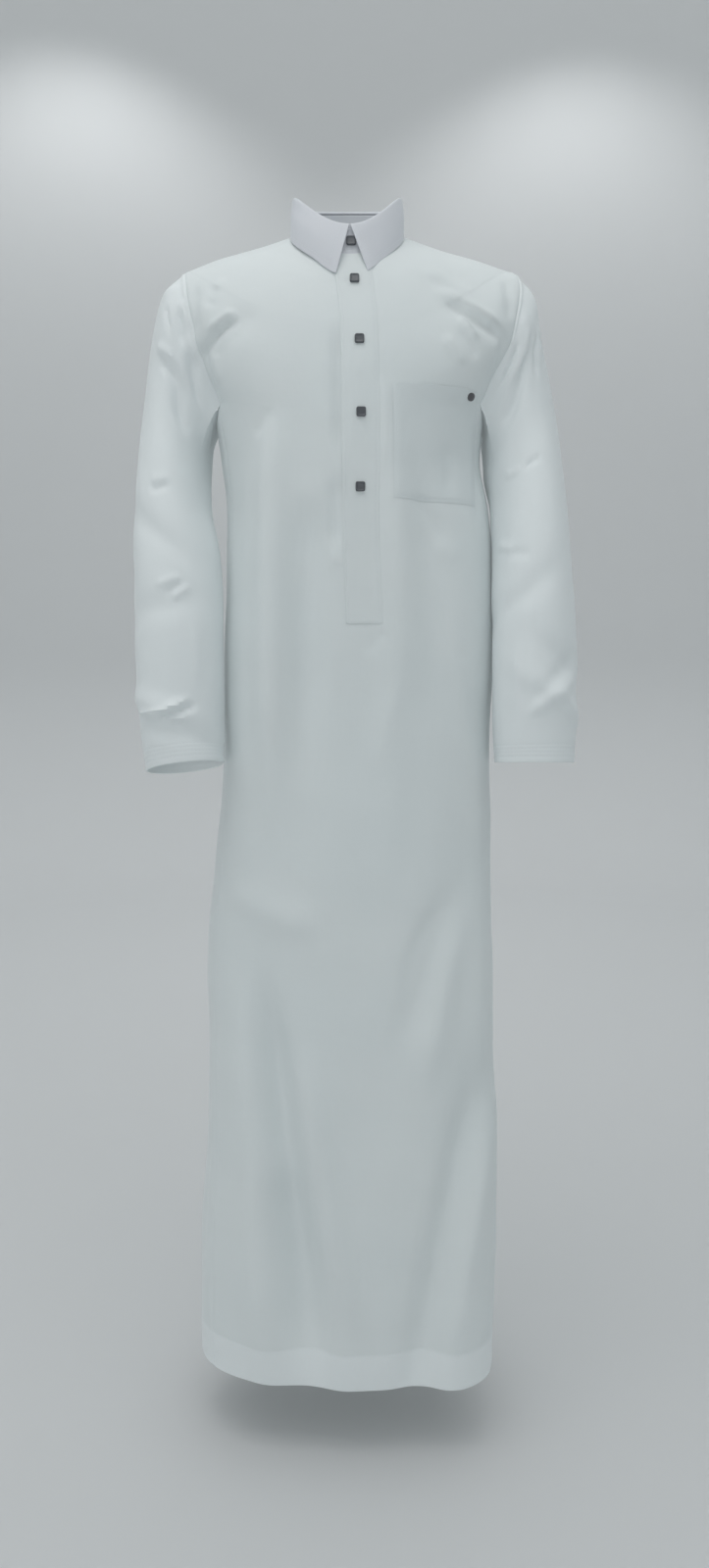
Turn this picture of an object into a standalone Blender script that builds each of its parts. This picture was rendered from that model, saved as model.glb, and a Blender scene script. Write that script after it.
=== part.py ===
"""A thobe: a plain ankle-length robe with a shirt collar, a half-length button placket and a chest pocket.

Metres, +Z up, the garment facing -Y and the wearer's left at +X. The origin is the middle of the neck
opening at the height where the shoulder seams meet the collar. The cloth is rigid, as it hangs when worn.

The body is one surface. Its rows run from the hem (row 0) to the underarm (row 1), on to the shoulder
tip (row 2) and to the neckline (row 3). Across a row the angle runs from the middle of the front or of the
back (0) out to the side (90 degrees). The panels are cut from that surface at the seams.
"""

import math
from collections import namedtuple

import bmesh
import bpy
import numpy as np
from mathutils import Matrix, Vector
from mathutils.bvhtree import BVHTree

# Cloth and seams
WALL = 0.0015
COLLAR_WALL = 0.0016
SEAM_GAP = 0.0003
SEAM_EASE = 0.00003
LAID_ON = 0.0005
POCKET_LAID_ON = 0.0012
ARMHOLE_EASE = 0.0001
HEM_TURN = 0.050
CUFF_TURN = 0.025
TURN_EXTRA = 0.0008
TURN_STEP = 0.003

# Lengths and heights
HEM_Z = -1.465
ARMPIT_Z = -0.214
NECK_HALF_WIDTH = 0.0625
COLLAR_SHIFT = -0.0035
SHOULDER_TIP_Z = -0.0475
ARMHOLE_LOW_Z = -0.235
ARMHOLE_HALF_DEPTH = 0.070
FILL = 0.0108
FILL_BACK = 0.0066
FILL_BELOW = 0.037
FILL_ABOVE = 0.0145
FILL_WIDEST = 0.87
DIP_ENDS_Z = -0.62
SLEEVE_LENGTH = 0.62
ARMHOLE_FADE = 0.22
UNDERARM_FADE = 0.1
SHOULDER_LEAN = 0.45
NECK_RIDGE = 0.5
NECK_RIDGE_ROW = 2.2
NECK_RIDGE_FADE = 0.6
FOLD_EDGE = 0.35
FOLD_RUN_ON = 0.1
FOLD_END_FADE = 0.4
FOLD_TOP_ROW = 2.9
FOLD_TOP_FADE = 0.4

# How finely each piece is drawn
SKIRT_ROWS = 22
ROW_CROWDING = 0.82
ARMHOLE_ROWS = 8
SHOULDER_ROWS = 5
PANEL_COLUMNS = 11
BACK_COLUMNS = 20
SIDE_COLUMNS = 4
SLEEVE_ROWS = 16
STEP = 0.001
TURN_ANGLE_STEP = 0.02
SHARP_ANGLE = 40
ROW_SAMPLES = 1201

# The body's rings: height at the side, half width to the wearer's left and right, depth to the front and
# back, squareness of the left and right halves (2 is an ellipse), and the side panel's seam angle.
Ring = namedtuple("Ring", "height left right front back square_left square_right seam")
RINGS = (
    Ring(-1.465, 0.190, 0.205, 0.109, 0.118, 4.6, 2.4, 58),
    Ring(-1.300, 0.196, 0.202, 0.112, 0.119, 3.6, 2.4, 60),
    Ring(-1.150, 0.194, 0.191, 0.115, 0.120, 3.2, 2.4, 61),
    Ring(-0.950, 0.188, 0.187, 0.118, 0.122, 2.9, 2.4, 63),
    Ring(-0.790, 0.181, 0.175, 0.120, 0.122, 2.8, 2.5, 65),
    Ring(-0.660, 0.178, 0.163, 0.122, 0.115, 2.8, 2.6, 67),
    Ring(-0.520, 0.184, 0.161, 0.124, 0.106, 2.8, 2.8, 69),
    Ring(-0.400, 0.181, 0.158, 0.126, 0.104, 2.45, 2.45, 70),
    Ring(-0.335, 0.174, 0.157, 0.127, 0.106, 2.2, 2.2, 70),
    Ring(-0.268, 0.164, 0.163, 0.127, 0.110, 2.0, 2.0, 71),
    Ring(ARMPIT_Z, 0.168, 0.169, 0.125, 0.112, 2.0, 2.0, 71),
)

# Above the underarm: the middle of the front and of the back in each row.
Middle = namedtuple("Middle", "row front_y front_z back_y back_z")
MIDDLES = (
    Middle(1.5, -0.120, -0.196, 0.109, -0.152),
    Middle(2.0, -0.108, -0.140, 0.096, -0.070),
    Middle(2.5, -0.093, -0.092, 0.080, -0.020),
    Middle(3.0, -0.077, -0.052, 0.061, 0.014),
)

# How far the armhole seam stands out, by the angle round it from the shoulder tip.
Armhole = namedtuple("Armhole", "angle left right")
ARMHOLES = (
    Armhole(0, 0.198, 0.204),
    Armhole(45, 0.205, 0.199),
    Armhole(90, 0.195, 0.187),
    Armhole(120, 0.176, 0.175),
)

# Where the front's middle line hangs: it swings a little to the wearer's left.
Swing = namedtuple("Swing", "row x")
SWINGS = (
    Swing(0.00, 0.000),
    Swing(0.60, 0.014),
    Swing(0.78, 0.0165),
    Swing(0.90, 0.0120),
    Swing(1.00, 0.0130),
    Swing(2.00, 0.0105),
    Swing(2.60, 0.0055),
    Swing(3.00, 0.0015),
)

# The largest folds, each along a line from its top to its foot: rise is positive for a ridge.
Fold = namedtuple("Fold", "top_x top_z foot_x foot_z top_width foot_width rise")
FRONT_FOLDS = (
    Fold(-0.112, -0.88, -0.042, -1.62, 0.020, 0.040, -0.007),
    Fold(-0.072, -1.00, 0.004, -1.60, 0.020, 0.034, 0.005),
    Fold(0.160, -1.00, 0.074, -1.58, 0.020, 0.034, -0.007),
    Fold(0.185, -1.08, 0.118, -1.62, 0.018, 0.030, 0.006),
    Fold(0.128, -0.80, 0.060, -1.02, 0.022, 0.020, -0.006),
    Fold(0.140, -0.82, 0.092, -1.06, 0.016, 0.016, 0.005),
    Fold(-0.092, -0.20, -0.094, -0.74, 0.020, 0.026, 0.005),
    Fold(-0.052, -0.28, -0.050, -0.80, 0.022, 0.028, -0.003),
    Fold(0.050, -0.24, 0.050, -0.80, 0.016, 0.020, 0.004),
    Fold(0.088, -0.30, 0.110, -0.62, 0.022, 0.024, -0.004),
    Fold(-0.150, -0.26, -0.136, -0.60, 0.016, 0.020, -0.004),
    Fold(0.104, -0.05, 0.180, -0.150, 0.022, 0.020, -0.004),
    Fold(-0.112, -0.12, -0.176, -0.176, 0.020, 0.020, -0.003),
)
BACK_FOLDS = (
    Fold(-0.110, -0.50, -0.120, -1.62, 0.016, 0.030, -0.014),
    Fold(-0.060, -0.42, -0.064, -1.62, 0.020, 0.032, 0.009),
    Fold(-0.016, -0.60, -0.012, -1.62, 0.018, 0.028, -0.013),
    Fold(0.034, -0.46, 0.042, -1.62, 0.020, 0.030, 0.010),
    Fold(0.086, -0.54, 0.098, -1.62, 0.018, 0.028, -0.015),
    Fold(0.134, -0.70, 0.146, -1.62, 0.018, 0.024, 0.008),
    Fold(-0.154, -0.80, -0.164, -1.62, 0.016, 0.022, 0.008),
    Fold(-0.090, -0.10, -0.140, -0.34, 0.018, 0.020, -0.005),
    Fold(0.090, -0.10, 0.138, -0.34, 0.018, 0.020, -0.005),
    Fold(-0.100, -0.40, 0.010, -0.47, 0.018, 0.018, 0.006),
    Fold(0.110, -0.37, 0.020, -0.43, 0.016, 0.016, 0.005),
)

# The sleeves' rings: share of the length, the ring's outer and inner end, its middle's y, half its depth,
# and how much its front edge is lifted. x is the distance out from the middle of the body.
Cut = namedtuple("Cut", "share outer_x outer_z inner_x inner_z middle_y half_depth lift")
LEFT_SLEEVE = (
    Cut(0.00, 0.198, -0.0475, 0.1690, -0.235, 0.000, 0.070, 0.000),
    Cut(0.06, 0.2215, -0.074, 0.1715, -0.246, 0.001, 0.069, 0.000),
    Cut(0.14, 0.238, -0.126, 0.1695, -0.264, 0.000, 0.065, 0.000),
    Cut(0.24, 0.2515, -0.194, 0.1700, -0.296, -0.009, 0.061, 0.000),
    Cut(0.36, 0.2613, -0.272, 0.1750, -0.340, -0.028, 0.059, 0.001),
    Cut(0.50, 0.2678, -0.362, 0.1768, -0.404, -0.052, 0.057, 0.002),
    Cut(0.66, 0.2746, -0.464, 0.1752, -0.482, -0.070, 0.056, 0.003),
    Cut(0.82, 0.2785, -0.561, 0.1748, -0.568, -0.077, 0.053, 0.004),
    Cut(1.00, 0.2768, -0.654, 0.1787, -0.654, -0.078, 0.049, 0.004),
)
RIGHT_SLEEVE = (
    Cut(0.00, 0.204, -0.0475, 0.1700, -0.235, 0.000, 0.070, 0.000),
    Cut(0.06, 0.2330, -0.071, 0.1745, -0.246, 0.001, 0.069, 0.000),
    Cut(0.14, 0.2475, -0.124, 0.1768, -0.264, 0.000, 0.065, 0.000),
    Cut(0.24, 0.2555, -0.194, 0.1775, -0.296, -0.009, 0.061, 0.000),
    Cut(0.36, 0.2616, -0.272, 0.1745, -0.340, -0.027, 0.059, 0.001),
    Cut(0.50, 0.2667, -0.362, 0.1605, -0.404, -0.050, 0.057, 0.003),
    Cut(0.66, 0.2651, -0.467, 0.1555, -0.480, -0.066, 0.056, 0.006),
    Cut(0.82, 0.2625, -0.569, 0.1545, -0.566, -0.075, 0.052, 0.010),
    Cut(1.00, 0.2520, -0.666, 0.1560, -0.654, -0.078, 0.048, 0.010),
)

# Creases across the sleeves: angle round the sleeve (0 outside, 90 in front), share of its length, their
# reach in degrees and in share, and how steeply they climb round the sleeve, in share for each 90 degrees.
Crease = namedtuple("Crease", "angle share reach width climb rise")
LEFT_CREASES = (
    Crease(62, 0.86, 42, 0.028, -0.10, 0.006),
    Crease(52, 0.79, 42, 0.030, -0.10, -0.005),
    Crease(120, 0.62, 60, 0.030, 0.06, -0.004),
    Crease(300, 0.56, 60, 0.035, 0.05, -0.006),
    Crease(290, 0.66, 50, 0.035, 0.05, 0.004),
)
RIGHT_CREASES = (
    Crease(60, 0.86, 60, 0.026, 0.05, 0.006),
    Crease(80, 0.92, 60, 0.024, 0.06, -0.005),
    Crease(70, 0.66, 50, 0.030, -0.04, -0.004),
    Crease(60, 0.50, 50, 0.030, 0.05, -0.004),
    Crease(300, 0.56, 60, 0.035, 0.05, -0.006),
)

# The collar: the stand's upper edge, and the roll and lower edge of the leaf.
STAND_HALF_WIDTH = 0.0638
STAND_FRONT_Y = -0.0700
STAND_BACK_Y = 0.0560
STAND_FRONT_Z = -0.0210
STAND_SIDE_Z = 0.0345
STAND_BACK_Z = 0.0470
STAND_EASE = 0.0003
STAND_ROWS = 3
LEAF_TIP_ANGLE = 10.0
LEAF_TIP_SHIFT = 2.0
LEAF_END_ANGLE = 0.6
LEAF_REST = 0.0023
LEAF_BULGE = 0.0015
Roll = namedtuple("Roll", "out up")
LEAF_ROLL = (
    Roll(0.0000, 0.0013),
    Roll(0.0004, 0.0031),
    Roll(0.0021, 0.0042),
    Roll(0.0040, 0.0032),
)
LEAF_FALL_ROWS = 4
Edge = namedtuple("Edge", "angle row")
LEAF_EDGE = (
    Edge(10, 2.67),
    Edge(30, 2.83),
    Edge(60, 2.90),
    Edge(90, 2.965),
    Edge(135, 2.94),
    Edge(180, 2.88),
)

# The placket, the pocket and what is sewn on them
PLACKET_HALF_WIDTH = 0.0215
PLACKET_FOOT_Z = -0.486
PLACKET_WALL = 0.0012
PLACKET_COLUMN = 0.1
POCKET_INNER_X = 0.049
POCKET_OUTER_X = 0.1525
POCKET_TOP_Z = -0.2095
POCKET_FOOT_Z = -0.342
POCKET_WALL = 0.0012
POCKET_COLUMNS = 8
POCKET_ROWS = 7
POCKET_SAMPLES = 60
BUTTON_SIDE = 0.0112
BUTTON_THICKNESS = 0.0030
BUTTON_BEVEL = 0.0008
BUTTON_HEIGHTS = (-0.0362, -0.0839, -0.1596, -0.2443, -0.3286)
STUD_X = 0.1430
STUD_Z = -0.2165
STUD_RADIUS = 0.0048
STUD_STRETCH = 1.2
STUD_TAPER = 0.72
STUD_THICKNESS = 0.0022
STUD_SIDES = 20

# Colour, roughness and metallic value of each material
Finish = namedtuple("Finish", "colour roughness metallic")
FINISHES = {
    "white_cotton": Finish((0.80, 0.83, 0.85, 1.0), 0.75, 0.0),
    "collar_cotton": Finish((0.78, 0.79, 0.86, 1.0), 0.70, 0.0),
    "button_grey": Finish((0.10, 0.11, 0.12, 1.0), 0.35, 0.2),
    "dark_metal": Finish((0.12, 0.12, 0.13, 1.0), 0.30, 0.9),
}


def clear_scene():
    for obj in list(bpy.data.objects):
        bpy.data.objects.remove(obj)


def material(name):
    """The named finish as a Principled material, made once."""
    made = bpy.data.materials.get(name)
    if made is None:
        made = bpy.data.materials.new(name)
        made.use_nodes = True
        shader = made.node_tree.nodes["Principled BSDF"]
        shader.inputs["Base Color"].default_value = FINISHES[name].colour
        shader.inputs["Roughness"].default_value = FINISHES[name].roughness
        shader.inputs["Metallic"].default_value = FINISHES[name].metallic
    return made


def column(table, name):
    return np.array([getattr(row, name) for row in table], float)


def smooth_curve(knots, values, at):
    """A curve through the knots that never overshoots them: cubics whose slopes are harmonic means."""
    knots, values, at = np.asarray(knots, float), np.asarray(values, float), np.asarray(at, float)
    spans = np.diff(knots)
    slopes = np.diff(values) / spans
    product = slopes[:-1] * slopes[1:]
    total = slopes[:-1] + slopes[1:]
    inner = np.where(product > 0, 2 * product / np.where(product > 0, total, 1.0), 0.0)
    tangents = np.concatenate([slopes[:1], inner, slopes[-1:]])
    index = np.clip(np.searchsorted(knots, at, side="right") - 1, 0, len(spans) - 1)
    t = (at - knots[index]) / spans[index]
    start, end = values[index], values[index + 1]
    lean_in, lean_out = tangents[index] * spans[index], tangents[index + 1] * spans[index]
    return (
        start * (1 + 2 * t) * (1 - t) ** 2
        + end * t * t * (3 - 2 * t)
        + lean_in * t * (1 - t) ** 2
        + lean_out * t * t * (t - 1)
    )


def ease(t):
    """0 below 0, 1 above 1, and a smooth step between."""
    t = np.clip(t, 0.0, 1.0)
    return t * t * (3 - 2 * t)


def ring_value(name, height):
    return smooth_curve(column(RINGS, "height"), column(RINGS, name), height)


def row_height(row):
    """Height of a skirt row where it passes the side of the body."""
    return HEM_Z + (ARMPIT_Z - HEM_Z) * row


ARMPIT_SEAM = math.radians(RINGS[-1].seam)
ARMHOLE_END = math.pi - math.asin(RINGS[-1].front * math.cos(ARMPIT_SEAM) / ARMHOLE_HALF_DEPTH)
ARMHOLE_MIDDLE_Z = (SHOULDER_TIP_Z + ARMHOLE_LOW_Z) / 2
ARMHOLE_HALF_HEIGHT = (SHOULDER_TIP_Z - ARMHOLE_LOW_Z) / 2
ARMHOLE_END_Z = ARMHOLE_MIDDLE_Z + ARMHOLE_HALF_HEIGHT * math.cos(ARMHOLE_END)
ARMPIT_DIP = (ARMPIT_Z - ARMHOLE_END_Z) / math.cos(ARMPIT_SEAM) ** 2


def side_name(side):
    return "left" if side > 0 else "right"


def armhole_out(angle, side):
    """How far out the armhole seam lies at this angle (radians) from the shoulder tip."""
    end = ring_value(side_name(side), ARMPIT_Z) * math.sin(ARMPIT_SEAM)
    angles = np.append(column(ARMHOLES, "angle"), math.degrees(ARMHOLE_END))
    outs = np.append(column(ARMHOLES, side_name(side)), end)
    angles = np.concatenate([-angles[:0:-1], angles])
    outs = np.concatenate([outs[:0:-1], outs])
    return smooth_curve(angles, outs, np.degrees(angle))


def middle_value(name, row):
    """A column of the middle line above the underarm, where the rings hand over to MIDDLES."""
    first = {
        "front_y": -RINGS[-1].front,
        "front_z": ARMPIT_Z - ARMPIT_DIP,
        "back_y": RINGS[-1].back,
        "back_z": ARMPIT_Z - ARMPIT_DIP,
    }[name]
    rows = np.append(1.0, column(MIDDLES, "row"))
    return smooth_curve(rows, np.append(first, column(MIDDLES, name)), row)


def row_sizes(row, half, side):
    """The depth, half width, middle height, edge height, edge angle and squareness of these rows."""
    skirt = np.minimum(row, 1.0)
    height = row_height(skirt)
    dip = ARMPIT_DIP * ease((height - DIP_ENDS_Z) / (ARMPIT_Z - DIP_ENDS_Z))
    part = "front" if half < 0 else "back"
    depth = ring_value(part, height)
    width = ring_value(side_name(side), height)
    square = ring_value("square_" + side_name(side), height)
    sizes = [depth, width, height - dip, height, np.full_like(row, math.pi / 2), square]

    turn = ARMHOLE_END * np.clip(2.0 - row, 0.0, 1.0)
    upper_depth = np.abs(middle_value(part + "_y", np.maximum(row, 1.0)))
    seam_y = ARMHOLE_HALF_DEPTH * np.sin(turn) * getattr(RINGS[-1], part) / RINGS[-1].front
    edge = np.arccos(np.clip(seam_y / upper_depth, 0.0, 1.0))
    climb = np.clip(row - 2.0, 0.0, None)
    tip = column(ARMHOLES, side_name(side))[0]
    neck = NECK_HALF_WIDTH + side * COLLAR_SHIFT
    out = np.where(row < 2.0, armhole_out(turn, side), tip + (neck - tip) * climb)
    edge_z = np.where(
        row < 2.0,
        ARMHOLE_MIDDLE_Z + ARMHOLE_HALF_HEIGHT * np.cos(turn),
        SHOULDER_TIP_Z * (1.0 - climb),
    )
    middle_z = middle_value(part + "_z", np.maximum(row, 1.0))
    upper = [upper_depth, out / np.sin(edge), middle_z, edge_z, edge, np.full_like(row, 2.0)]
    return [np.where(row > 1.0, high, low) for low, high in zip(sizes, upper)]


def underarm_fill(x, z, half):
    """How far the cloth stands in front of the ellipses about the line where they start to widen for the
    armholes, with s as x over their half width there: FILL s^2 / sqrt(1 - s^2), times e^-d, with d as the
    distance from that line over FILL_BELOW or FILL_ABOVE. Its cusp makes up for their corner."""
    width = np.where(x > 0, RINGS[-1].left, RINGS[-1].right)
    share = np.minimum(np.abs(x) / width, FILL_WIDEST) ** 2
    line = ARMPIT_Z - ARMPIT_DIP * (1 - share)
    length = np.where(z < line, FILL_BELOW, FILL_ABOVE)
    fill = FILL if half < 0 else FILL_BACK
    return fill * share / np.sqrt(1 - share) * np.exp(-np.abs(z - line) / length)


def body_surface(angle, row, half):
    """The plain body: an ellipse, squared off where square is over 2, that climbs from the middle line to
    the side as the sine squared of the angle, and near the neck partly as one less the cosine. angle is
    signed, + to the wearer's left; half is -1 in front."""
    angle, row = np.broadcast_arrays(np.asarray(angle, float), np.asarray(row, float))
    left = row_sizes(row, half, 1)
    right = row_sizes(row, half, -1)
    depth, width, middle_z, edge_z, edge, square = (np.where(angle > 0, a, b) for a, b in zip(left, right))
    sine, cosine = np.sin(angle), np.cos(angle)
    corner = (np.abs(sine) ** square + np.abs(cosine) ** square) ** (1.0 / square)
    x = width * sine / corner
    y = half * depth * cosine / corner
    ridge = NECK_RIDGE * ease((row - NECK_RIDGE_ROW) / NECK_RIDGE_FADE)
    climb = (1 - ridge) * sine**2 / np.sin(edge) ** 2 + ridge * (1 - np.abs(cosine))
    z = middle_z + (edge_z - middle_z) * climb
    y = y + half * underarm_fill(x, z, half) * ease(cosine / FOLD_EDGE)
    return np.stack([x, y, z], axis=-1)


def unit(vectors):
    return vectors / np.linalg.norm(vectors, axis=-1, keepdims=True)


def normals_of(surface, first, second, outward):
    """Unit normals of surface(first, second), by small steps each way."""
    along = surface(first + STEP, second) - surface(first - STEP, second)
    up = surface(first, second + STEP) - surface(first, second - STEP)
    return outward * unit(np.cross(along, up))


def fold_rise(x, z, folds):
    """Each fold is a soft ridge or trough about its line, which fades at both ends."""
    total = np.zeros_like(x)
    for fold in folds:
        run_x, run_z = fold.foot_x - fold.top_x, fold.foot_z - fold.top_z
        length = math.hypot(run_x, run_z)
        along = ((x - fold.top_x) * run_x + (z - fold.top_z) * run_z) / length**2
        across = ((x - fold.top_x) * run_z - (z - fold.top_z) * run_x) / length
        width = fold.top_width + (fold.foot_width - fold.top_width) * np.clip(along, 0.0, 1.0)
        fade = ease((along + FOLD_RUN_ON) / FOLD_END_FADE) * ease((1 + FOLD_RUN_ON - along) / FOLD_END_FADE)
        total += fold.rise * fade * np.exp(-((across / width) ** 2))
    return total


def draped(angle, row, half):
    """The body's surface with its folds, which die away towards the side and towards the neckline."""
    plain = body_surface(angle, row, half)
    steady = np.minimum(row, 3.0 - 2 * STEP)
    normal = normals_of(lambda a, r: body_surface(a, r, half), angle, steady, -half)
    folds = FRONT_FOLDS if half < 0 else BACK_FOLDS
    rise = fold_rise(plain[..., 0], plain[..., 2], folds)
    rise = rise * ease(np.cos(angle) / FOLD_EDGE) * ease((FOLD_TOP_ROW - row) / FOLD_TOP_FADE)
    return plain + normal * rise[..., None]


def drape_and_normal(angle, row, half):
    """Points of the draped body with their outward normals, taken from below at the underarm's corner."""
    steady = np.where(row > 1.0, row, np.minimum(row, 1.0 - 2 * STEP))
    normal = normals_of(lambda a, r: draped(a, r, half), angle, steady, -half)
    return draped(angle, row, half), normal


def seam_angle(row, half):
    """The angle at which the front or back panel ends, in radians."""
    skirt = np.radians(ring_value("seam", row_height(np.minimum(row, 1.0))))
    upper = row_sizes(np.maximum(row, 1.0 + 1e-9), half, 1)[4]
    return np.where(row > 1.0, upper, skirt)


def front_angle(across, row):
    """across runs from -1 to 1 over the front; the placket lies within PLACKET_COLUMN of its middle."""
    swing = smooth_curve(column(SWINGS, "row"), column(SWINGS, "x"), row)
    width = row_sizes(row, -1, 1)[1]
    low = np.arcsin((swing - PLACKET_HALF_WIDTH) / width)
    high = np.arcsin((swing + PLACKET_HALF_WIDTH) / width)
    seam = seam_angle(row, -1)
    inside = low + (high - low) * (across / PLACKET_COLUMN + 1) / 2
    share = (np.abs(across) - PLACKET_COLUMN) / (1 - PLACKET_COLUMN)
    outside = np.where(across > 0, high + (seam - high) * share, low - (seam + low) * share)
    return np.where(np.abs(across) <= PLACKET_COLUMN, inside, outside)


def wall_thickness(row):
    """The wall, thicker where the hem is turned up."""
    return WALL + TURN_EXTRA * (row < HEM_TURN / (ARMPIT_Z - HEM_Z) + 1e-6)


def body_rows():
    """The rows of the front and back, with one at the hem's turn and one at the placket's foot."""
    length = ARMPIT_Z - HEM_Z
    turn = HEM_TURN / length
    placket_foot = row_of_front(PLACKET_FOOT_Z)
    skirt = np.linspace(0.0, 1.0, SKIRT_ROWS + 1) ** ROW_CROWDING
    skirt[1] = turn
    skirt[2] = turn + TURN_STEP / length
    skirt[np.argmin(np.abs(skirt - placket_foot))] = placket_foot
    armhole = np.linspace(1.0, 2.0, ARMHOLE_ROWS + 1)[1:]
    shoulder = np.linspace(2.0, 3.0, SHOULDER_ROWS + 1)[1:]
    return np.concatenate([skirt, armhole, shoulder])


def row_of_front(height):
    """The row that passes this height in the middle of the front."""
    rows = np.linspace(0.0, 3.0, ROW_SAMPLES)
    middle = body_surface(np.zeros_like(rows), rows, -1)[:, 2]
    return float(np.interp(height, middle, rows))


def pull_edges(points, first=False, last=False, low=False, high=False):
    """Draws the named edges of a grid in by half a seam gap, so that pieces meet without touching."""
    half_gap = SEAM_GAP / 2 + SEAM_EASE
    if first:
        points[:, 0] += unit(points[:, 1] - points[:, 0]) * half_gap
    if last:
        points[:, -1] += unit(points[:, -2] - points[:, -1]) * half_gap
    if low:
        points[0] += unit(points[1] - points[0]) * half_gap
    if high:
        points[-1] += unit(points[-2] - points[-1]) * half_gap
    return points


def add_object(name, points, faces, finish):
    mesh = bpy.data.meshes.new(name)
    mesh.from_pydata(points.tolist(), [], faces.tolist())
    mesh.validate()
    mesh.shade_smooth()
    mesh.set_sharp_from_angle(angle=math.radians(SHARP_ANGLE))
    mesh.materials.append(material(finish))
    obj = bpy.data.objects.new(name, mesh)
    bpy.context.scene.collection.objects.link(obj)
    return obj


def strip(first, second):
    """Two triangles for each step along a pair of matching index rows."""
    near = np.stack([first[:-1], first[1:], second[1:]], axis=-1)
    far = np.stack([first[:-1], second[1:], second[:-1]], axis=-1)
    return np.concatenate([near, far])


def add_wall(name, outer, inner, finish, tube=False):
    """One closed solid between two matching grids of points. A tube's last column joins its first."""
    rows, columns = outer.shape[:2]
    front = np.arange(rows * columns).reshape(rows, columns)
    back = front + rows * columns
    if tube:
        front = np.concatenate([front, front[:, :1]], axis=1)
        back = np.concatenate([back, back[:, :1]], axis=1)
    faces = [strip(front[i], front[i + 1]) for i in range(rows - 1)]
    faces += [strip(back[i], back[i + 1])[:, ::-1] for i in range(rows - 1)]
    faces += [strip(back[0], front[0]), strip(front[-1], back[-1])]
    if not tube:
        faces += [strip(front[:, 0], back[:, 0]), strip(back[:, -1], front[:, -1])]
    faces = np.concatenate(faces)
    points = np.concatenate([outer.reshape(-1, 3), inner.reshape(-1, 3)])
    if np.linalg.det(points[faces]).sum() < 0:
        faces = faces[:, ::-1]
    return add_object(name, points, faces, finish)


def add_front():
    rows = body_rows()
    outside = np.linspace(PLACKET_COLUMN, 1.0, PANEL_COLUMNS + 1)
    across = np.concatenate([-outside[::-1], [0.0], outside])
    across, row = np.meshgrid(across, rows)
    points, normal = drape_and_normal(front_angle(across, row), row, -1)
    points = pull_edges(points, first=True, last=True)
    inner = points - normal * wall_thickness(row)[..., None]
    add_wall("front", points, inner, "white_cotton")
    return rows, points, normal


def add_back():
    rows = body_rows()
    share, row = np.meshgrid(np.linspace(-1.0, 1.0, BACK_COLUMNS + 1), rows)
    points, normal = drape_and_normal(share * seam_angle(row, 1), row, 1)
    points = pull_edges(points, first=True, last=True)
    inner = points - normal * wall_thickness(row)[..., None]
    add_wall("back", points, inner, "white_cotton")
    return points, normal


def side_surface(turn, row, side):
    """The body under the arm, by the angle from the middle of the front; its top edge dips as the armhole."""
    front_half = draped(side * np.minimum(turn, math.pi / 2), row, -1)
    back_half = draped(side * (math.pi - np.maximum(turn, math.pi / 2)), row, 1)
    points = np.where((turn <= math.pi / 2)[..., None], front_half, back_half)
    reach = math.pi / 2 - ARMPIT_SEAM
    dip = (ARMPIT_Z - ARMHOLE_LOW_Z) * np.clip(1 - ((turn - math.pi / 2) / reach) ** 2, 0.0, 1.0)
    points[..., 2] -= dip * ease((row - 1 + UNDERARM_FADE) / UNDERARM_FADE)
    return points


def side_normals(turn, row, side):
    steady = np.minimum(row, 1.0 - 2 * STEP)
    front_half = drape_and_normal(side * np.minimum(turn, math.pi / 2), steady, -1)[1]
    back_half = drape_and_normal(side * (math.pi - np.maximum(turn, math.pi / 2)), steady, 1)[1]
    return np.where((turn <= math.pi / 2)[..., None], front_half, back_half)


def add_side_panel(side):
    rows = body_rows()
    rows = rows[rows <= 1.0]
    share, row = np.meshgrid(np.linspace(0.0, 1.0, SIDE_COLUMNS + 1), rows)
    seam = seam_angle(row, -1)
    turn = seam + (math.pi - 2 * seam) * share
    points = side_surface(turn, row, side)
    normal = side_normals(turn, row, side)
    points = pull_edges(points, first=True, last=True)
    inner = points - normal * wall_thickness(row)[..., None]
    add_wall("side_panel_" + side_name(side), points, inner, "white_cotton")


def armhole_loop(side):
    """The armhole seam from the shoulder tip down the front, under the arm and up the back, with the angle
    round the sleeve of each of its points."""
    down = np.linspace(2.0, 1.0, ARMHOLE_ROWS + 1)
    edge_front = draped(side * seam_angle(down, -1), down, -1)
    edge_back = draped(side * seam_angle(down, 1), down, 1)[::-1]
    share = np.linspace(0.0, 1.0, SIDE_COLUMNS + 1)[1:-1]
    turn = ARMPIT_SEAM + (math.pi - 2 * ARMPIT_SEAM) * share
    under = side_surface(turn, np.ones_like(turn), side)
    angle_front = ARMHOLE_END * (2.0 - down)
    angle_under = ARMHOLE_END + 2 * (math.pi - ARMHOLE_END) * share
    angle_back = 2 * math.pi - angle_front[::-1]
    points = np.concatenate([edge_front, under, edge_back[:-1]])
    return points, np.concatenate([angle_front, angle_under, angle_back[:-1]])


def clear_of_panels(loop, angle, side):
    """The armhole seam moved a seam gap off the panels: along the cloth over the shoulder, in front and
    behind, and straight out under the arm, where the sleeve hangs beside the side panel."""
    tangent = unit(np.roll(loop, -1, axis=0) - np.roll(loop, 1, axis=0))
    lean = np.full_like(angle, SHOULDER_LEAN * side)
    panel_normal = unit(np.stack([lean, -np.sin(angle), np.cos(angle)], axis=-1))
    away = unit(np.cross(tangent, panel_normal))
    away = away * np.where(away[:, :1] * side < 0, -1.0, 1.0)
    under = under_share(angle)[:, None]
    away = unit(away * (1 - under) + np.array([side, 0.0, 0.0]) * under)
    return loop + away * (SEAM_GAP + ARMHOLE_EASE)


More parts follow.
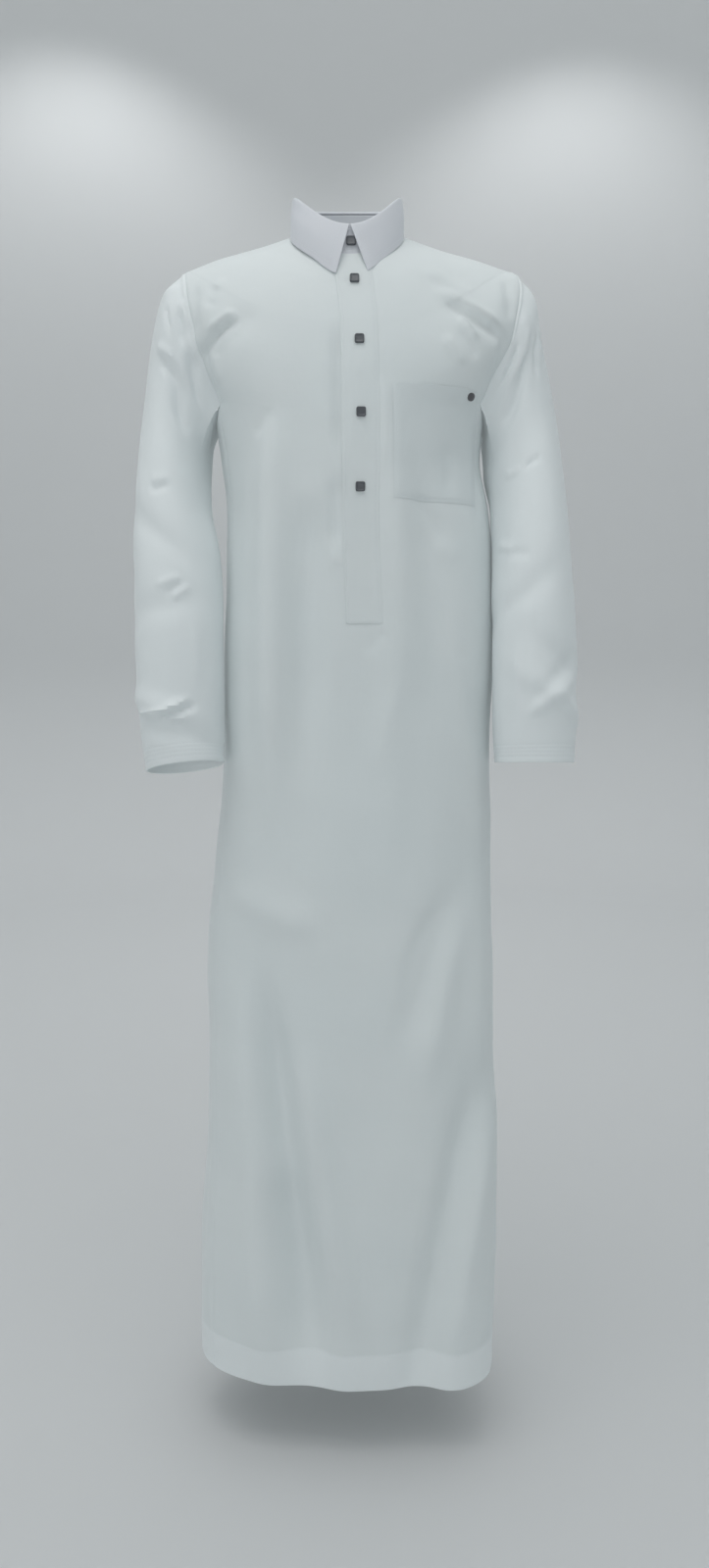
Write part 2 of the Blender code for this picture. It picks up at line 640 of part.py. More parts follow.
def under_share(angle):
    """1 under the arm, falling to nearly 0 in front, behind and over the shoulder."""
    return ((1 - np.cos(angle)) / 2) ** 4


def sleeve_ring(cuts, angle, share, side):
    """An oval through the ring's outer and inner ends; its front edge is lifted as the arm bends forward."""
    knots = column(cuts, "share")
    value = {name: smooth_curve(knots, column(cuts, name), share) for name in Cut._fields[1:]}
    cosine, sine = np.cos(angle), np.sin(angle)
    x = (value["outer_x"] + value["inner_x"]) / 2 + (value["outer_x"] - value["inner_x"]) / 2 * cosine
    z = (value["outer_z"] + value["inner_z"]) / 2 + (value["outer_z"] - value["inner_z"]) / 2 * cosine
    y = value["middle_y"] - value["half_depth"] * sine
    return np.stack([side * x, y, z + value["lift"] * sine], axis=-1)


def crease_rise(creases, angle, share):
    total = np.zeros_like(angle)
    for crease in creases:
        apart = (np.degrees(angle) - crease.angle + 180) % 360 - 180
        line = crease.share + crease.climb * apart / 90
        fade = np.exp(-((apart / crease.reach) ** 2))
        total += crease.rise * fade * np.exp(-(((share - line) / crease.width) ** 2))
    return total


def sleeve_surface(side, angle, share):
    """The plain sleeve, and its first rings drawn to the armhole seam."""
    cuts = LEFT_SLEEVE if side > 0 else RIGHT_SLEEVE
    loop, loop_angle = armhole_loop(side)
    loop = clear_of_panels(loop, loop_angle, side)
    pull = loop - sleeve_ring(cuts, loop_angle, np.zeros_like(loop_angle), side)
    around = np.append(loop_angle, 2 * math.pi)
    pull = np.concatenate([pull, pull[:1]])
    drawn = np.stack([np.interp(angle % (2 * math.pi), around, pull[:, k]) for k in range(3)], axis=-1)
    fade = 1 - ease(share / ARMHOLE_FADE)
    return sleeve_ring(cuts, angle, share, side) + drawn * fade[..., None]


def sleeve_normals(surface, angle, share, side):
    """Outward normals; along the armhole they lie in the seam's plane, so the wall ends square to it."""
    steady = np.clip(share, STEP, 1.0)
    along = surface(angle + TURN_ANGLE_STEP, steady) - surface(angle - TURN_ANGLE_STEP, steady)
    down = surface(angle, steady + STEP) - surface(angle, steady - STEP)
    normal = side * unit(np.cross(along, down))
    normal[0, :, 0] *= under_share(angle[0])
    return unit(normal)


def sleeve_shares():
    """The sleeve's rings, with two close together where the cuff is turned up."""
    turned = 1 - CUFF_TURN / SLEEVE_LENGTH
    shares = np.linspace(0.0, 1.0, SLEEVE_ROWS + 1)
    shares[-2] = turned
    return np.insert(shares, -2, turned - TURN_STEP / SLEEVE_LENGTH), turned


def add_sleeve(side):
    creases = LEFT_CREASES if side > 0 else RIGHT_CREASES
    shares, turned = sleeve_shares()
    angle, share = np.meshgrid(armhole_loop(side)[1], shares)

    def surface(a, s):
        return sleeve_surface(side, a, s)

    normal = sleeve_normals(surface, angle, share, side)
    outer = surface(angle, share) + normal * crease_rise(creases, angle, share)[..., None]
    thickness = WALL + TURN_EXTRA * (share >= turned)
    inner = outer - normal * thickness[..., None]
    add_wall("sleeve_" + side_name(side), outer, inner, "white_cotton", tube=True)


def outward_at(angle):
    """The level direction out from the neck, by the angle from the middle of the front."""
    return np.stack([np.sin(angle), -np.cos(angle), np.zeros_like(angle)], axis=-1)


def stand_top(angle):
    """The upper edge of the stand, by the angle from the middle of the front, signed to the left."""
    sine, cosine = np.sin(angle), np.cos(angle)
    y = np.where(cosine > 0, STAND_FRONT_Y, -STAND_BACK_Y) * cosine
    end_z = np.where(cosine > 0, STAND_FRONT_Z, STAND_BACK_Z)
    z = STAND_SIDE_Z + (end_z - STAND_SIDE_Z) * cosine**2
    half_width = STAND_HALF_WIDTH + np.sign(sine) * COLLAR_SHIFT
    return np.stack([half_width * sine, y, z], axis=-1)


def add_stand(front_points, front_normal, back_points, back_normal):
    """The stand rises from the middle of the panels' neckline edge, a seam gap away from it. It gives the
    angles of its columns for the leaf."""
    edge = np.concatenate([front_points[-1], back_points[-1][-2:0:-1]])
    below = np.concatenate([front_points[-2], back_points[-2][-2:0:-1]])
    normal = np.concatenate([front_normal[-1], back_normal[-1][-2:0:-1]])
    depth = np.where(edge[:, 1] < 0, -MIDDLES[-1].front_y, MIDDLES[-1].back_y)
    half_width = NECK_HALF_WIDTH + np.sign(edge[:, 0]) * COLLAR_SHIFT
    angle = np.arctan2(edge[:, 0] / half_width, -edge[:, 1] / depth)
    inward = unit(edge - below)
    top = stand_top(angle)
    rise = unit(top - edge)
    outward = outward_at(angle)
    outward = unit(outward - rise * (outward * rise).sum(-1, keepdims=True))
    reach = SEAM_GAP + STAND_EASE + COLLAR_WALL / 2 * np.abs((outward * inward).sum(-1, keepdims=True))
    foot = edge - normal * WALL / 2 + inward * reach
    shares = np.linspace(0.0, 1.0, STAND_ROWS + 1)[:, None, None]
    middle = foot + (top - foot) * shares
    outer = middle + outward * COLLAR_WALL / 2
    inner = middle - outward * COLLAR_WALL / 2
    add_wall("collar_stand", outer, inner, "collar_cotton", tube=True)
    return angle


def leaf_foot(angle):
    """The leaf's lower edge, which rests just clear of the panels."""
    row = smooth_curve(column(LEAF_EDGE, "angle"), column(LEAF_EDGE, "row"), np.degrees(np.abs(angle)))
    in_front = np.abs(angle) <= math.pi / 2
    front = drape_and_normal(np.clip(angle, -math.pi / 2, math.pi / 2), row, -1)
    behind_angle = np.sign(angle) * (math.pi - np.maximum(np.abs(angle), math.pi / 2))
    behind = drape_and_normal(behind_angle, row, 1)
    point = np.where(in_front[..., None], front[0], behind[0])
    normal = np.where(in_front[..., None], front[1], behind[1])
    return point + normal * (LEAF_REST + COLLAR_WALL / 2)


def add_leaf(stand_angles):
    """The leaf rolls over the stand's upper edge and falls to its lower edge; its two points end in front."""
    around = np.sort(stand_angles % (2 * math.pi))
    end = math.radians(LEAF_END_ANGLE)
    around = around[(around > 2 * end) & (around < 2 * math.pi - 2 * end)]
    around = np.concatenate([[end], around, [2 * math.pi - end]])
    tip = math.radians(LEAF_TIP_ANGLE)
    foot_angle = tip + (around - end) * (math.pi - tip) / (math.pi - end)
    foot_angle = np.where(foot_angle > math.pi, foot_angle - 2 * math.pi, foot_angle)
    foot_angle = foot_angle + math.radians(LEAF_TIP_SHIFT) * np.clip(np.cos(foot_angle), 0.0, 1.0)
    out = outward_at(around)
    up = np.array([0.0, 0.0, 1.0])
    top = stand_top(around)
    rows = [top + out * roll.out + up * roll.up for roll in LEAF_ROLL]
    start, foot = rows[-1], leaf_foot(foot_angle)
    for fall in np.linspace(0.0, 1.0, LEAF_FALL_ROWS + 1)[1:]:
        rows.append(start + (foot - start) * fall + out * LEAF_BULGE * math.sin(math.pi * fall))
    middle = np.stack(rows)
    along, down = np.gradient(middle, axis=1), np.gradient(middle, axis=0)
    normal = unit(np.cross(down, along))
    outer = middle + normal * COLLAR_WALL / 2
    inner = middle - normal * COLLAR_WALL / 2
    add_wall("collar_leaf", outer, inner, "collar_cotton")


def add_placket(rows, points, normal):
    """The placket is made from the front's own points, moved out."""
    first = int(np.argmin(np.abs(rows - row_of_front(PLACKET_FOOT_Z))))
    middle = points.shape[1] // 2
    block = (slice(first, None), slice(middle - 1, middle + 2))
    inner = points[block] + normal[block] * SEAM_GAP
    outer = inner + normal[block] * PLACKET_WALL
    add_wall("placket", outer, inner, "white_cotton")


def caster(points):
    """A tree of a panel's outer faces, which finds where a line along +Y meets them."""
    rows, columns = points.shape[:2]
    index = np.arange(rows * columns).reshape(rows, columns)
    faces = np.concatenate([strip(index[i], index[i + 1]) for i in range(rows - 1)])
    return BVHTree.FromPolygons(points.reshape(-1, 3).tolist(), faces.tolist())


def lay_on(tree, x, z):
    """The point and outward normal of the tree's surface in front of (x, z)."""
    point, normal, _, _ = tree.ray_cast(Vector((x, -1.0, z)), Vector((0.0, 1.0, 0.0)))
    normal = np.array(normal)
    return np.array(point), normal * (-1.0 if normal[1] > 0 else 1.0)


def pocket_columns(tree):
    """x of the pocket's columns, evenly spaced along the cloth at the middle of the pocket's height."""
    x = np.linspace(POCKET_INNER_X, POCKET_OUTER_X, POCKET_SAMPLES)
    middle_z = (POCKET_TOP_Z + POCKET_FOOT_Z) / 2
    points = np.array([lay_on(tree, value, middle_z)[0] for value in x])
    run = np.append(0.0, np.cumsum(np.linalg.norm(np.diff(points, axis=0), axis=1)))
    return np.interp(np.linspace(0.0, run[-1], POCKET_COLUMNS + 1), run, x)


def add_pocket(front_tree):
    """The pocket lies on the front's own faces, moved out."""
    x_values = pocket_columns(front_tree)
    z_values = np.linspace(POCKET_FOOT_Z, POCKET_TOP_Z, POCKET_ROWS + 1)
    points = np.array([[lay_on(front_tree, x, z)[0] for x in x_values] for z in z_values])
    along, up = np.gradient(points, axis=1), np.gradient(points, axis=0)
    normal = unit(np.cross(along, up))
    inner = points + normal * POCKET_LAID_ON
    outer = inner + normal * POCKET_WALL
    add_wall("chest_pocket", outer, inner, "white_cotton")
    return outer


def place_on(obj, point, normal):
    """Stands an object's foot on the point, its Z along the normal and its X level."""
    z_axis = Vector(normal).normalized()
    x_axis = Vector((0.0, 0.0, 1.0)).cross(z_axis).normalized()
    y_axis = z_axis.cross(x_axis)
    turn = Matrix((x_axis, y_axis, z_axis)).transposed().to_4x4()
    obj.matrix_world = Matrix.Translation(Vector(point)) @ turn


def button_mesh():
    """A square tile with softened edges, standing on its own origin."""
    shape = bmesh.new()
    bmesh.ops.create_cube(shape, size=1.0)
    bmesh.ops.scale(shape, vec=(BUTTON_SIDE, BUTTON_SIDE, BUTTON_THICKNESS), verts=shape.verts)
    bmesh.ops.translate(shape, vec=(0.0, 0.0, BUTTON_THICKNESS / 2), verts=shape.verts)
    upper = [e for e in shape.edges if all(v.co.z > BUTTON_THICKNESS / 2 for v in e.verts)]
    upright = [e for e in shape.edges if abs(e.verts[0].co.z - e.verts[1].co.z) > BUTTON_THICKNESS / 2]
    bmesh.ops.bevel(shape, geom=upper + upright, offset=BUTTON_BEVEL, segments=2, affect="EDGES", profile=0.5)
    mesh = bpy.data.meshes.new("button")
    shape.to_mesh(mesh)
    shape.free()
    mesh.materials.append(material("button_grey"))
    return mesh


def stand_front(height):
    """The outer face of the stand at its front, and its normal."""
    low = np.array([SWINGS[-1].x, MIDDLES[-1].front_y, MIDDLES[-1].front_z])
    high = np.array([SWINGS[-1].x, STAND_FRONT_Y, STAND_FRONT_Z])
    share = (height - low[2]) / (high[2] - low[2])
    rise = high - low
    normal = unit(np.array([0.0, -rise[2], rise[1]]))
    return low + rise * share + normal * COLLAR_WALL / 2, normal


def add_buttons(front_tree):
    mesh = button_mesh()
    for number, height in enumerate(BUTTON_HEIGHTS, start=1):
        obj = bpy.data.objects.new(f"button_{number}", mesh)
        bpy.context.scene.collection.objects.link(obj)
        if number == 1:
            point, normal = stand_front(height)
            point = point + normal * SEAM_GAP
        else:
            x = float(smooth_curve(column(SWINGS, "row"), column(SWINGS, "x"), row_of_front(height)))
            point = lay_on(front_tree, x, height)[0]
            left = lay_on(front_tree, x + BUTTON_SIDE / 2, height)[1]
            right = lay_on(front_tree, x - BUTTON_SIDE / 2, height)[1]
            normal = unit(left + right)
            point = point + normal * (SEAM_GAP + PLACKET_WALL + LAID_ON)
        place_on(obj, point, normal)


def add_stud(pocket_points):
    """A small plain oval stud on the pocket's upper outer corner."""
    shape = bmesh.new()
    bmesh.ops.create_cone(
        shape,
        cap_ends=True,
        segments=STUD_SIDES,
        radius1=STUD_RADIUS,
        radius2=STUD_RADIUS * STUD_TAPER,
        depth=STUD_THICKNESS,
    )
    bmesh.ops.scale(shape, vec=(STUD_STRETCH, 1.0, 1.0), verts=shape.verts)
    bmesh.ops.translate(shape, vec=(0.0, 0.0, STUD_THICKNESS / 2), verts=shape.verts)
    mesh = bpy.data.meshes.new("pocket_stud")
    shape.to_mesh(mesh)
    shape.free()
    mesh.materials.append(material("dark_metal"))
    obj = bpy.data.objects.new("pocket_stud", mesh)
    bpy.context.scene.collection.objects.link(obj)
    tree = caster(pocket_points)
    point, normal = lay_on(tree, STUD_X, STUD_Z)
    place_on(obj, point + normal * LAID_ON, normal)


def main():
    clear_scene()
    rows, front_points, front_normal = add_front()
    back_points, back_normal = add_back()
    for side in (1, -1):
        add_side_panel(side)
        add_sleeve(side)
    stand_angles = add_stand(front_points, front_normal, back_points, back_normal)
    add_leaf(stand_angles)
    add_placket(rows, front_points, front_normal)
    front_tree = caster(front_points)
    add_buttons(front_tree)
    add_stud(add_pocket(front_tree))


main()
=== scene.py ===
"""The looks of a thobe: a plain ankle-length robe with a shirt collar, a half-length placket and a pocket.

Metres, +Z up, the garment facing -Y and the wearer's left at +X. Each cloth piece is a thin closed shell on
the form of the solid that it stands for. The body is one surface: its rows run from the hem (row 0) to the
underarm (1), the shoulder tip (2) and the neckline (3), and across a row the angle runs from the middle of
the front or of the back (0) out to the side (90 degrees). The panels are cut from it at the seams.
"""

import math
from collections import namedtuple

import bpy
import numpy as np
from mathutils import Euler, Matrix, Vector


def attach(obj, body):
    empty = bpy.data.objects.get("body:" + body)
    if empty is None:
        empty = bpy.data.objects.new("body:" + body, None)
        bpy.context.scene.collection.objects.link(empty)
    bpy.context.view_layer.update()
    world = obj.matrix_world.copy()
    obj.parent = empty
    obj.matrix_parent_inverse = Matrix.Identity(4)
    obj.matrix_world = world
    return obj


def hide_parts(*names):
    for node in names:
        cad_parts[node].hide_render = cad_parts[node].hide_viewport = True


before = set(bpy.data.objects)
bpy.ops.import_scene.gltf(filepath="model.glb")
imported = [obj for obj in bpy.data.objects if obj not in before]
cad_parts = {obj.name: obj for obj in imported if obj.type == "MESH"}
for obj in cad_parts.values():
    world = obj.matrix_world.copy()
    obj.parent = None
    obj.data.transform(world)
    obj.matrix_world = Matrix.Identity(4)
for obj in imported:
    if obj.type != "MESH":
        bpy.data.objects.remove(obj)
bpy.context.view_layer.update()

# Cloth and seams
WALL = 0.0015
COLLAR_WALL = 0.0016
SEAM_GAP = 0.00005
SEAM_DIP = 0.0007
SEAM_DIP_WIDTH = 0.0030
HEM_TURN = 0.050
CUFF_TURN = 0.025
TURN_EXTRA = 0.0008
HEM_TURN_FADE = 0.002
HEM_BAND = 0.0003
HEM_BAND_FADE = 0.003
HEM_DENT = 0.0002
HEM_DENT_WIDTH = 0.0022
HEM_STITCH = 0.002
CUFF_TURN_FADE = 0.004
EDGE_SOFTNESS = 0.42
EDGE_STEPS = (0.0, 0.0002, 0.0006, 0.0012, 0.0022)

# Lengths and heights
NECK_HALF_WIDTH = 0.0625
COLLAR_SHIFT = -0.0035
SHOULDER_TIP_Z = -0.0475
ARMHOLE_LOW_Z = -0.235
ARMHOLE_HALF_DEPTH = 0.070
FILL = 0.0108
FILL_BACK = 0.0066
FILL_BELOW = 0.037
FILL_ABOVE = 0.0145
FILL_WIDEST = 0.875
FILL_SOFTNESS = 0.03
DIP_ENDS_Z = -0.62
SLEEVE_LENGTH = 0.62
SLEEVE_RADIUS = 0.055
ARMHOLE_FADE = 0.22
UNDERARM_FADE = 0.1
SIDE_EDGE = 0.35
SHOULDER_LEAN = 0.45
NECK_RIDGE = 0.5
NECK_RIDGE_ROW = 2.2
NECK_RIDGE_FADE = 0.6
FOLD_EDGE = 0.35
FOLD_RUN_ON = 0.1
FOLD_END_FADE = 0.4
FOLD_TOP_ROW = 2.9
FOLD_TOP_FADE = 0.4
CREASE_EDGE = 0.12
CREASE_END_FADE = 0.3
CREASE_STEPS = 12
CREASE_REACH = 3.2
CREASE_TIP_WIDTH = 0.7
STEP = 0.001
ROW_HALVINGS = 36

# The grids' rows and columns, with close steps at the hem's stitches, beside the placket and the side seams,
# and below the armhole
HEM_ROWS = 8
SKIRT_ROWS = 96
WAIST_ROWS = 98
CHEST_ROWS = 66
SHOULDER_ROWS = 48
SLEEVE_ROWS = 122
FRONT_COLUMNS = 47
BACK_COLUMNS = 44
SIDE_COLUMNS = 9
BEHIND_PLACKET = 10
HEM_STEPS = (-0.0060, -0.0035, -0.0020, -0.0005, 0.0010, 0.0030)
CHANNEL_STEPS = (0.0030, 0.0015, 0.0, -0.0015)
CUFF_STEPS = (0.0060, 0.0040)
NEAR_PLACKET = (0.0, 0.005, 0.012, 0.021, 0.032)
NEAR_SEAM = (0.972, 0.980, 0.986, 0.991, 0.9945, 0.9975, 1.0)
NEAR_ARMHOLE = (0.0, 0.0012, 0.0025, 0.0040, 0.0058, 0.0080, 0.0105)

# These columns of the tables are shares, degrees, rows or plain numbers. The others are lengths.
NO_LENGTH = "row share angle reach breadth climb seam square_left square_right a0 a1 a2".split()


def table(kind, *rows):
    """Named rows, whose lengths are given in millimetres and kept in metres."""
    scales = [1 if name in NO_LENGTH else 1000 for name in kind._fields]
    return [kind(*(value / scale for value, scale in zip(row, scales))) for row in rows]


# The body's rings: height at the side, half width to the wearer's left and right, depth to the front and
# back, squareness of the left and right halves (2 is an ellipse), and the side panel's seam angle.
Ring = namedtuple("Ring", "height left right front back square_left square_right seam")
RINGS = table(
    Ring,
    (-1465, 190, 205, 109, 118, 4.6, 2.4, 58),
    (-1300, 196, 202, 112, 119, 3.6, 2.4, 60),
    (-1150, 194, 191, 115, 120, 3.2, 2.4, 61),
    (-950, 188, 187, 118, 122, 2.9, 2.4, 63),
    (-790, 181, 175, 120, 122, 2.8, 2.5, 65),
    (-660, 178, 163, 122, 115, 2.8, 2.6, 67),
    (-520, 184, 161, 124, 106, 2.8, 2.8, 69),
    (-400, 181, 158, 126, 104, 2.45, 2.45, 70),
    (-335, 174, 157, 127, 106, 2.2, 2.2, 70),
    (-268, 164, 163, 127, 110, 2, 2, 71),
    (-214, 168, 169, 125, 112, 2, 2, 71),
)

# Above the underarm: the middle of the front and of the back in each row.
Middle = namedtuple("Middle", "row front_y front_z back_y back_z")
MIDDLES = table(
    Middle,
    (1.5, -120, -196, 109, -152),
    (2, -108, -140, 96, -70),
    (2.5, -93, -92, 80, -20),
    (3, -77, -52, 61, 14),
)

# How far the armhole seam stands out, by the angle round it from the shoulder tip.
Armhole = namedtuple("Armhole", "angle left right")
ARMHOLES = table(
    Armhole,
    (0, 198, 204),
    (45, 205, 199),
    (90, 195, 187),
    (120, 176, 175),
)

# Where the front's middle line hangs: it swings a little to the wearer's left.
Swing = namedtuple("Swing", "row x")
SWINGS = table(
    Swing,
    (0, 0),
    (0.6, 14),
    (0.78, 16.5),
    (0.9, 12),
    (1, 13),
    (2, 10.5),
    (2.6, 5.5),
    (3, 1.5),
)

# The largest folds, each along a line from its top to its foot: rise is positive for a ridge.
Fold = namedtuple("Fold", "top_x top_z foot_x foot_z top_width foot_width rise")
FRONT_FOLDS = table(
    Fold,
    (-112, -880, -42, -1620, 20, 40, -7),
    (-72, -1000, 4, -1600, 20, 34, 5),
    (160, -1000, 74, -1580, 20, 34, -7),
    (185, -1080, 118, -1620, 18, 30, 6),
    (128, -800, 60, -1020, 22, 20, -6),
    (140, -820, 92, -1060, 16, 16, 5),
    (-92, -200, -94, -740, 20, 26, 5),
    (-52, -280, -50, -800, 22, 28, -3),
    (50, -240, 50, -800, 16, 20, 4),
    (88, -300, 110, -620, 22, 24, -4),
    (-150, -260, -136, -600, 16, 20, -4),
    (104, -50, 180, -150, 22, 20, -4),
    (-112, -120, -176, -176, 20, 20, -3),
)
BACK_FOLDS = table(
    Fold,
    (-110, -500, -120, -1620, 16, 30, -14),
    (-60, -420, -64, -1620, 20, 32, 9),
    (-16, -600, -12, -1620, 18, 28, -13),
    (34, -460, 42, -1620, 20, 30, 10),
    (86, -540, 98, -1620, 18, 28, -15),
    (134, -700, 146, -1620, 18, 24, 8),
    (-154, -800, -164, -1620, 16, 22, 8),
    (-90, -100, -140, -340, 18, 20, -5),
    (90, -100, 138, -340, 18, 20, -5),
    (-100, -400, 10, -470, 18, 18, 6),
    (110, -370, 20, -430, 16, 16, 5),
)

# Creases follow a bent line through a start, a middle and an end. width is half of the crease's breadth and
# rise its height, positive for a ridge. Those of the body are placed by x and z.
Crease = namedtuple("Crease", "x0 z0 x1 z1 x2 z2 width rise")
FRONT_CREASES = table(
    Crease,
    # The wearer's right shoulder and chest
    (-132, -116, -151, -130, -172, -142, 5.5, 3.5),
    (-128, -126, -156, -144, -184, -172, 5.4, -5.9),
    (-178, -150, -172, -185, -156, -226, 6.5, -4.6),
    (-183, -70, -186, -112, -183, -150, 7, -3.2),
    (-158, -83, -163, -98, -170, -116, 7, -2.2),
    (-150, -72, -157, -92, -163, -110, 7, 1.9),
    (-161, -165, -160, -182, -152, -204, 6, 2.4),
    (-112, -118, -128, -138, -146, -166, 9, -1.1),
    # The wearer's left shoulder and chest
    (86, -60, 122, -82, 166, -112, 8, 2.4),
    (82, -72, 116, -96, 150, -112, 7.5, -1.9),
    (96, -86, 148, -114, 188, -142, 6.8, 4.9),
    (98, -100, 148, -129, 192, -158, 8, -5.7),
    (128, -120, 140, -138, 152, -160, 5.2, 3),
    (108, -148, 123, -168, 138, -186, 6, 2.3),
    (124, -138, 140, -160, 148, -182, 6, -2.2),
    (184, -70, 190, -100, 188, -130, 6.5, -3),
    (186, -140, 178, -176, 162, -214, 7, -4.1),
    # Chest and belly
    (-90, -226, -92, -420, -94, -780, 20, 12),
    (-92, -232, -100, -250, -112, -268, 8, -2.2),
    (-136, -240, -140, -330, -142, -440, 12, -1.9),
    (-128, -430, -131, -560, -124, -720, 14, 1.7),
    (-52, -330, -50, -460, -52, -700, 21, -7.2),
    (38, -196, 41, -250, 43, -320, 7, 2.4),
    (44, -200, 62, -400, 66, -620, 20, 5.3),
    (-15, -125, -13, -220, -12, -310, 9, -4.6),
    (-18, -310, -17, -360, -18, -404, 9, -3.8),
    (-26, -408, -16, -412, -6, -418, 8, 1.1),
    (74, -330, 97, -362, 122, -392, 9, -2.2),
    (96, -394, 116, -401, 132, -408, 9, 1.1),
    (10, -522, 30, -507, 46, -490, 8, -1.3),
    (60, -530, 40, -620, 18, -690, 12, 1.7),
    (108, -440, 122, -500, 150, -550, 6.5, -1.8),
    (114, -436, 134, -560, 163, -730, 9, 1.7),
    (110, -268, 118, -300, 116, -336, 8, -1.9),
    (151.5, -240, 154, -300, 152.5, -376, 5.2, -2.2),
    # Skirt
    (-158, -806, -95, -838, -26, -850, 23, 5),
    (-114, -900, -80, -1150, -22, -1500, 22, -17.5),
    (-136, -900, -126, -1200, -104, -1540, 26, 9),
    (-66, -960, -28, -1200, 14, -1430, 19, 7.4),
    (-96, -1160, -76, -1300, -44, -1480, 24, -11),
    (176, -1020, 126, -1230, 62, -1520, 21, -8),
    (190, -1060, 156, -1240, 108, -1540, 15, 5),
    (124, -822, 82, -876, 70, -944, 10, -2.2),
    (160, -560, 163, -860, 168, -1100, 18, 6),
    (40, -1080, 52, -1200, 50, -1330, 20, 1.4),
)
BACK_CREASES = table(
    Crease,
    # Shoulders and shoulder blades
    (-172, -70, -150, -120, -136, -168, 8, -3),
    (-160, -62, -134, -108, -116, -168, 8.5, 2.6),
    (-176, -150, -152, -182, -120, -206, 7, 2.6),
    (-178, -166, -154, -198, -116, -224, 7, -3),
    (-96, -52, -86, -100, -80, -160, 10, -1.2),
    (170, -66, 150, -110, 140, -158, 8.5, -2.8),
    (156, -58, 136, -112, 122, -180, 9, 2.4),
    (180, -144, 150, -188, 104, -214, 7.5, 2.8),
    (178, -162, 148, -206, 98, -236, 7.5, -3),
    (56, -50, 64, -100, 66, -168, 10, -1),
    # Waist
    (-146, -372, -90, -412, -26, -430, 10, 2.6),
    (-148, -396, -86, -438, -10, -452, 10, -2.8),
    (144, -352, 94, -392, 36, -404, 9, 2.4),
    (140, -376, 88, -418, 24, -428, 9, -2.6),
    (-120, -300, -60, -330, 6, -334, 11, 1.2),
    # Skirt
    (-104, -560, -112, -900, -116, -1240, 11, -3),
    (-58, -520, -62, -860, -60, -1180, 11, 2.8),
    (-18, -700, -13, -1000, -14, -1360, 11, -2.8),
    (36, -560, 40, -840, 42, -1120, 11, 2.8),
    (90, -640, 94, -960, 98, -1320, 11, -3.2),
    (134, -780, 140, -1060, 144, -1360, 11, 2.4),
    (-152, -860, -158, -1100, -160, -1360, 11, 2.4),
)
# Those of the side panels are placed by the length behind the side's middle line, and z.
SIDE_CREASES_LEFT = table(
    Crease,
    (-16, -300, -10, -560, -16, -840, 14, -3),
    (14, -420, 18, -760, 14, -1080, 12, 3),
    (-22, -760, -26, -1060, -32, -1400, 15, -3.4),
    (26, -900, 22, -1160, 26, -1430, 14, -3.4),
    (-4, -960, 0, -1200, -4, -1440, 14, 2.6),
)
SIDE_CREASES_RIGHT = table(
    Crease,
    (16, -320, 10, -520, 18, -760, 14, -3),
    (-14, -500, -16, -820, -12, -1120, 12, 2.8),
    (22, -700, 28, -1020, 30, -1380, 15, -3.6),
    (-24, -880, -26, -1140, -30, -1430, 14, -3.2),
    (2, -980, 4, -1220, 0, -1440, 14, 2.6),
)

# Slow unevenness of the hung cloth: how many waves, their lengths and the height of each.
WAVES = 12
WAVE_SHORTEST = 0.055
WAVE_LONGEST = 0.190
WAVE_RISE = 0.00022
WAVE_STRETCH = 0.6
WAVE_SEEDS = {"front": 3, "back": 8, "sleeve": 20, "leaf": 31}
SLEEVE_WAVE_SHIFT = 0.03

# The sleeves' rings: share of the length, the ring's outer and inner end, its middle's y, half its depth,
# and how much its front edge is lifted. x is the distance out from the middle of the body.
Cut = namedtuple("Cut", "share outer_x outer_z inner_x inner_z middle_y half_depth lift")
LEFT_SLEEVE = table(
    Cut,
    (0, 198, -47.5, 169, -235, 0, 70, 0),
    (0.06, 221.5, -74, 171.5, -246, 1, 69, 0),
    (0.14, 238, -126, 169.5, -264, 0, 65, 0),
    (0.24, 251.5, -194, 170, -296, -9, 61, 0),
    (0.36, 261.3, -272, 175, -340, -28, 59, 1),
    (0.5, 267.8, -362, 176.8, -404, -52, 57, 2),
    (0.66, 274.6, -464, 175.2, -482, -70, 56, 3),
    (0.82, 278.5, -561, 174.8, -568, -77, 53, 4),
    (1, 276.8, -654, 178.7, -654, -78, 49, 4),
)
RIGHT_SLEEVE = table(
    Cut,
    (0, 204, -47.5, 170, -235, 0, 70, 0),
    (0.06, 233, -71, 174.5, -246, 1, 69, 0),
    (0.14, 247.5, -124, 176.8, -264, 0, 65, 0),
    (0.24, 255.5, -194, 177.5, -296, -9, 61, 0),
    (0.36, 261.6, -272, 174.5, -340, -27, 59, 1),
    (0.5, 266.7, -362, 160.5, -404, -50, 57, 3),
    (0.66, 265.1, -467, 155.5, -480, -66, 56, 6),
    (0.82, 262.5, -569, 154.5, -566, -75, 52, 10),
    (1, 252, -666, 156, -654, -78, 48, 10),
)

# Broad creases across the sleeves: angle round the sleeve (0 outside, 90 in front), share of its length,
# reach in degrees and in share, and how steeply they climb round the sleeve, in share for each 90 degrees.
Bend = namedtuple("Bend", "angle share reach breadth climb rise")
LEFT_BENDS = table(
    Bend,
    (62, 0.845, 55, 0.026, -0.1, 5),
    (56, 0.77, 50, 0.032, -0.1, -4),
    (120, 0.62, 60, 0.03, 0.06, -4),
    (300, 0.56, 60, 0.035, 0.05, -6),
    (290, 0.66, 50, 0.035, 0.05, 4),
)
RIGHT_BENDS = table(
    Bend,
    (60, 0.86, 60, 0.026, 0.05, 6),
    (80, 0.92, 60, 0.024, 0.06, -5),
    (70, 0.66, 50, 0.03, -0.04, -4),
    (60, 0.5, 50, 0.03, 0.05, -4),
    (300, 0.56, 60, 0.035, 0.05, -6),
)

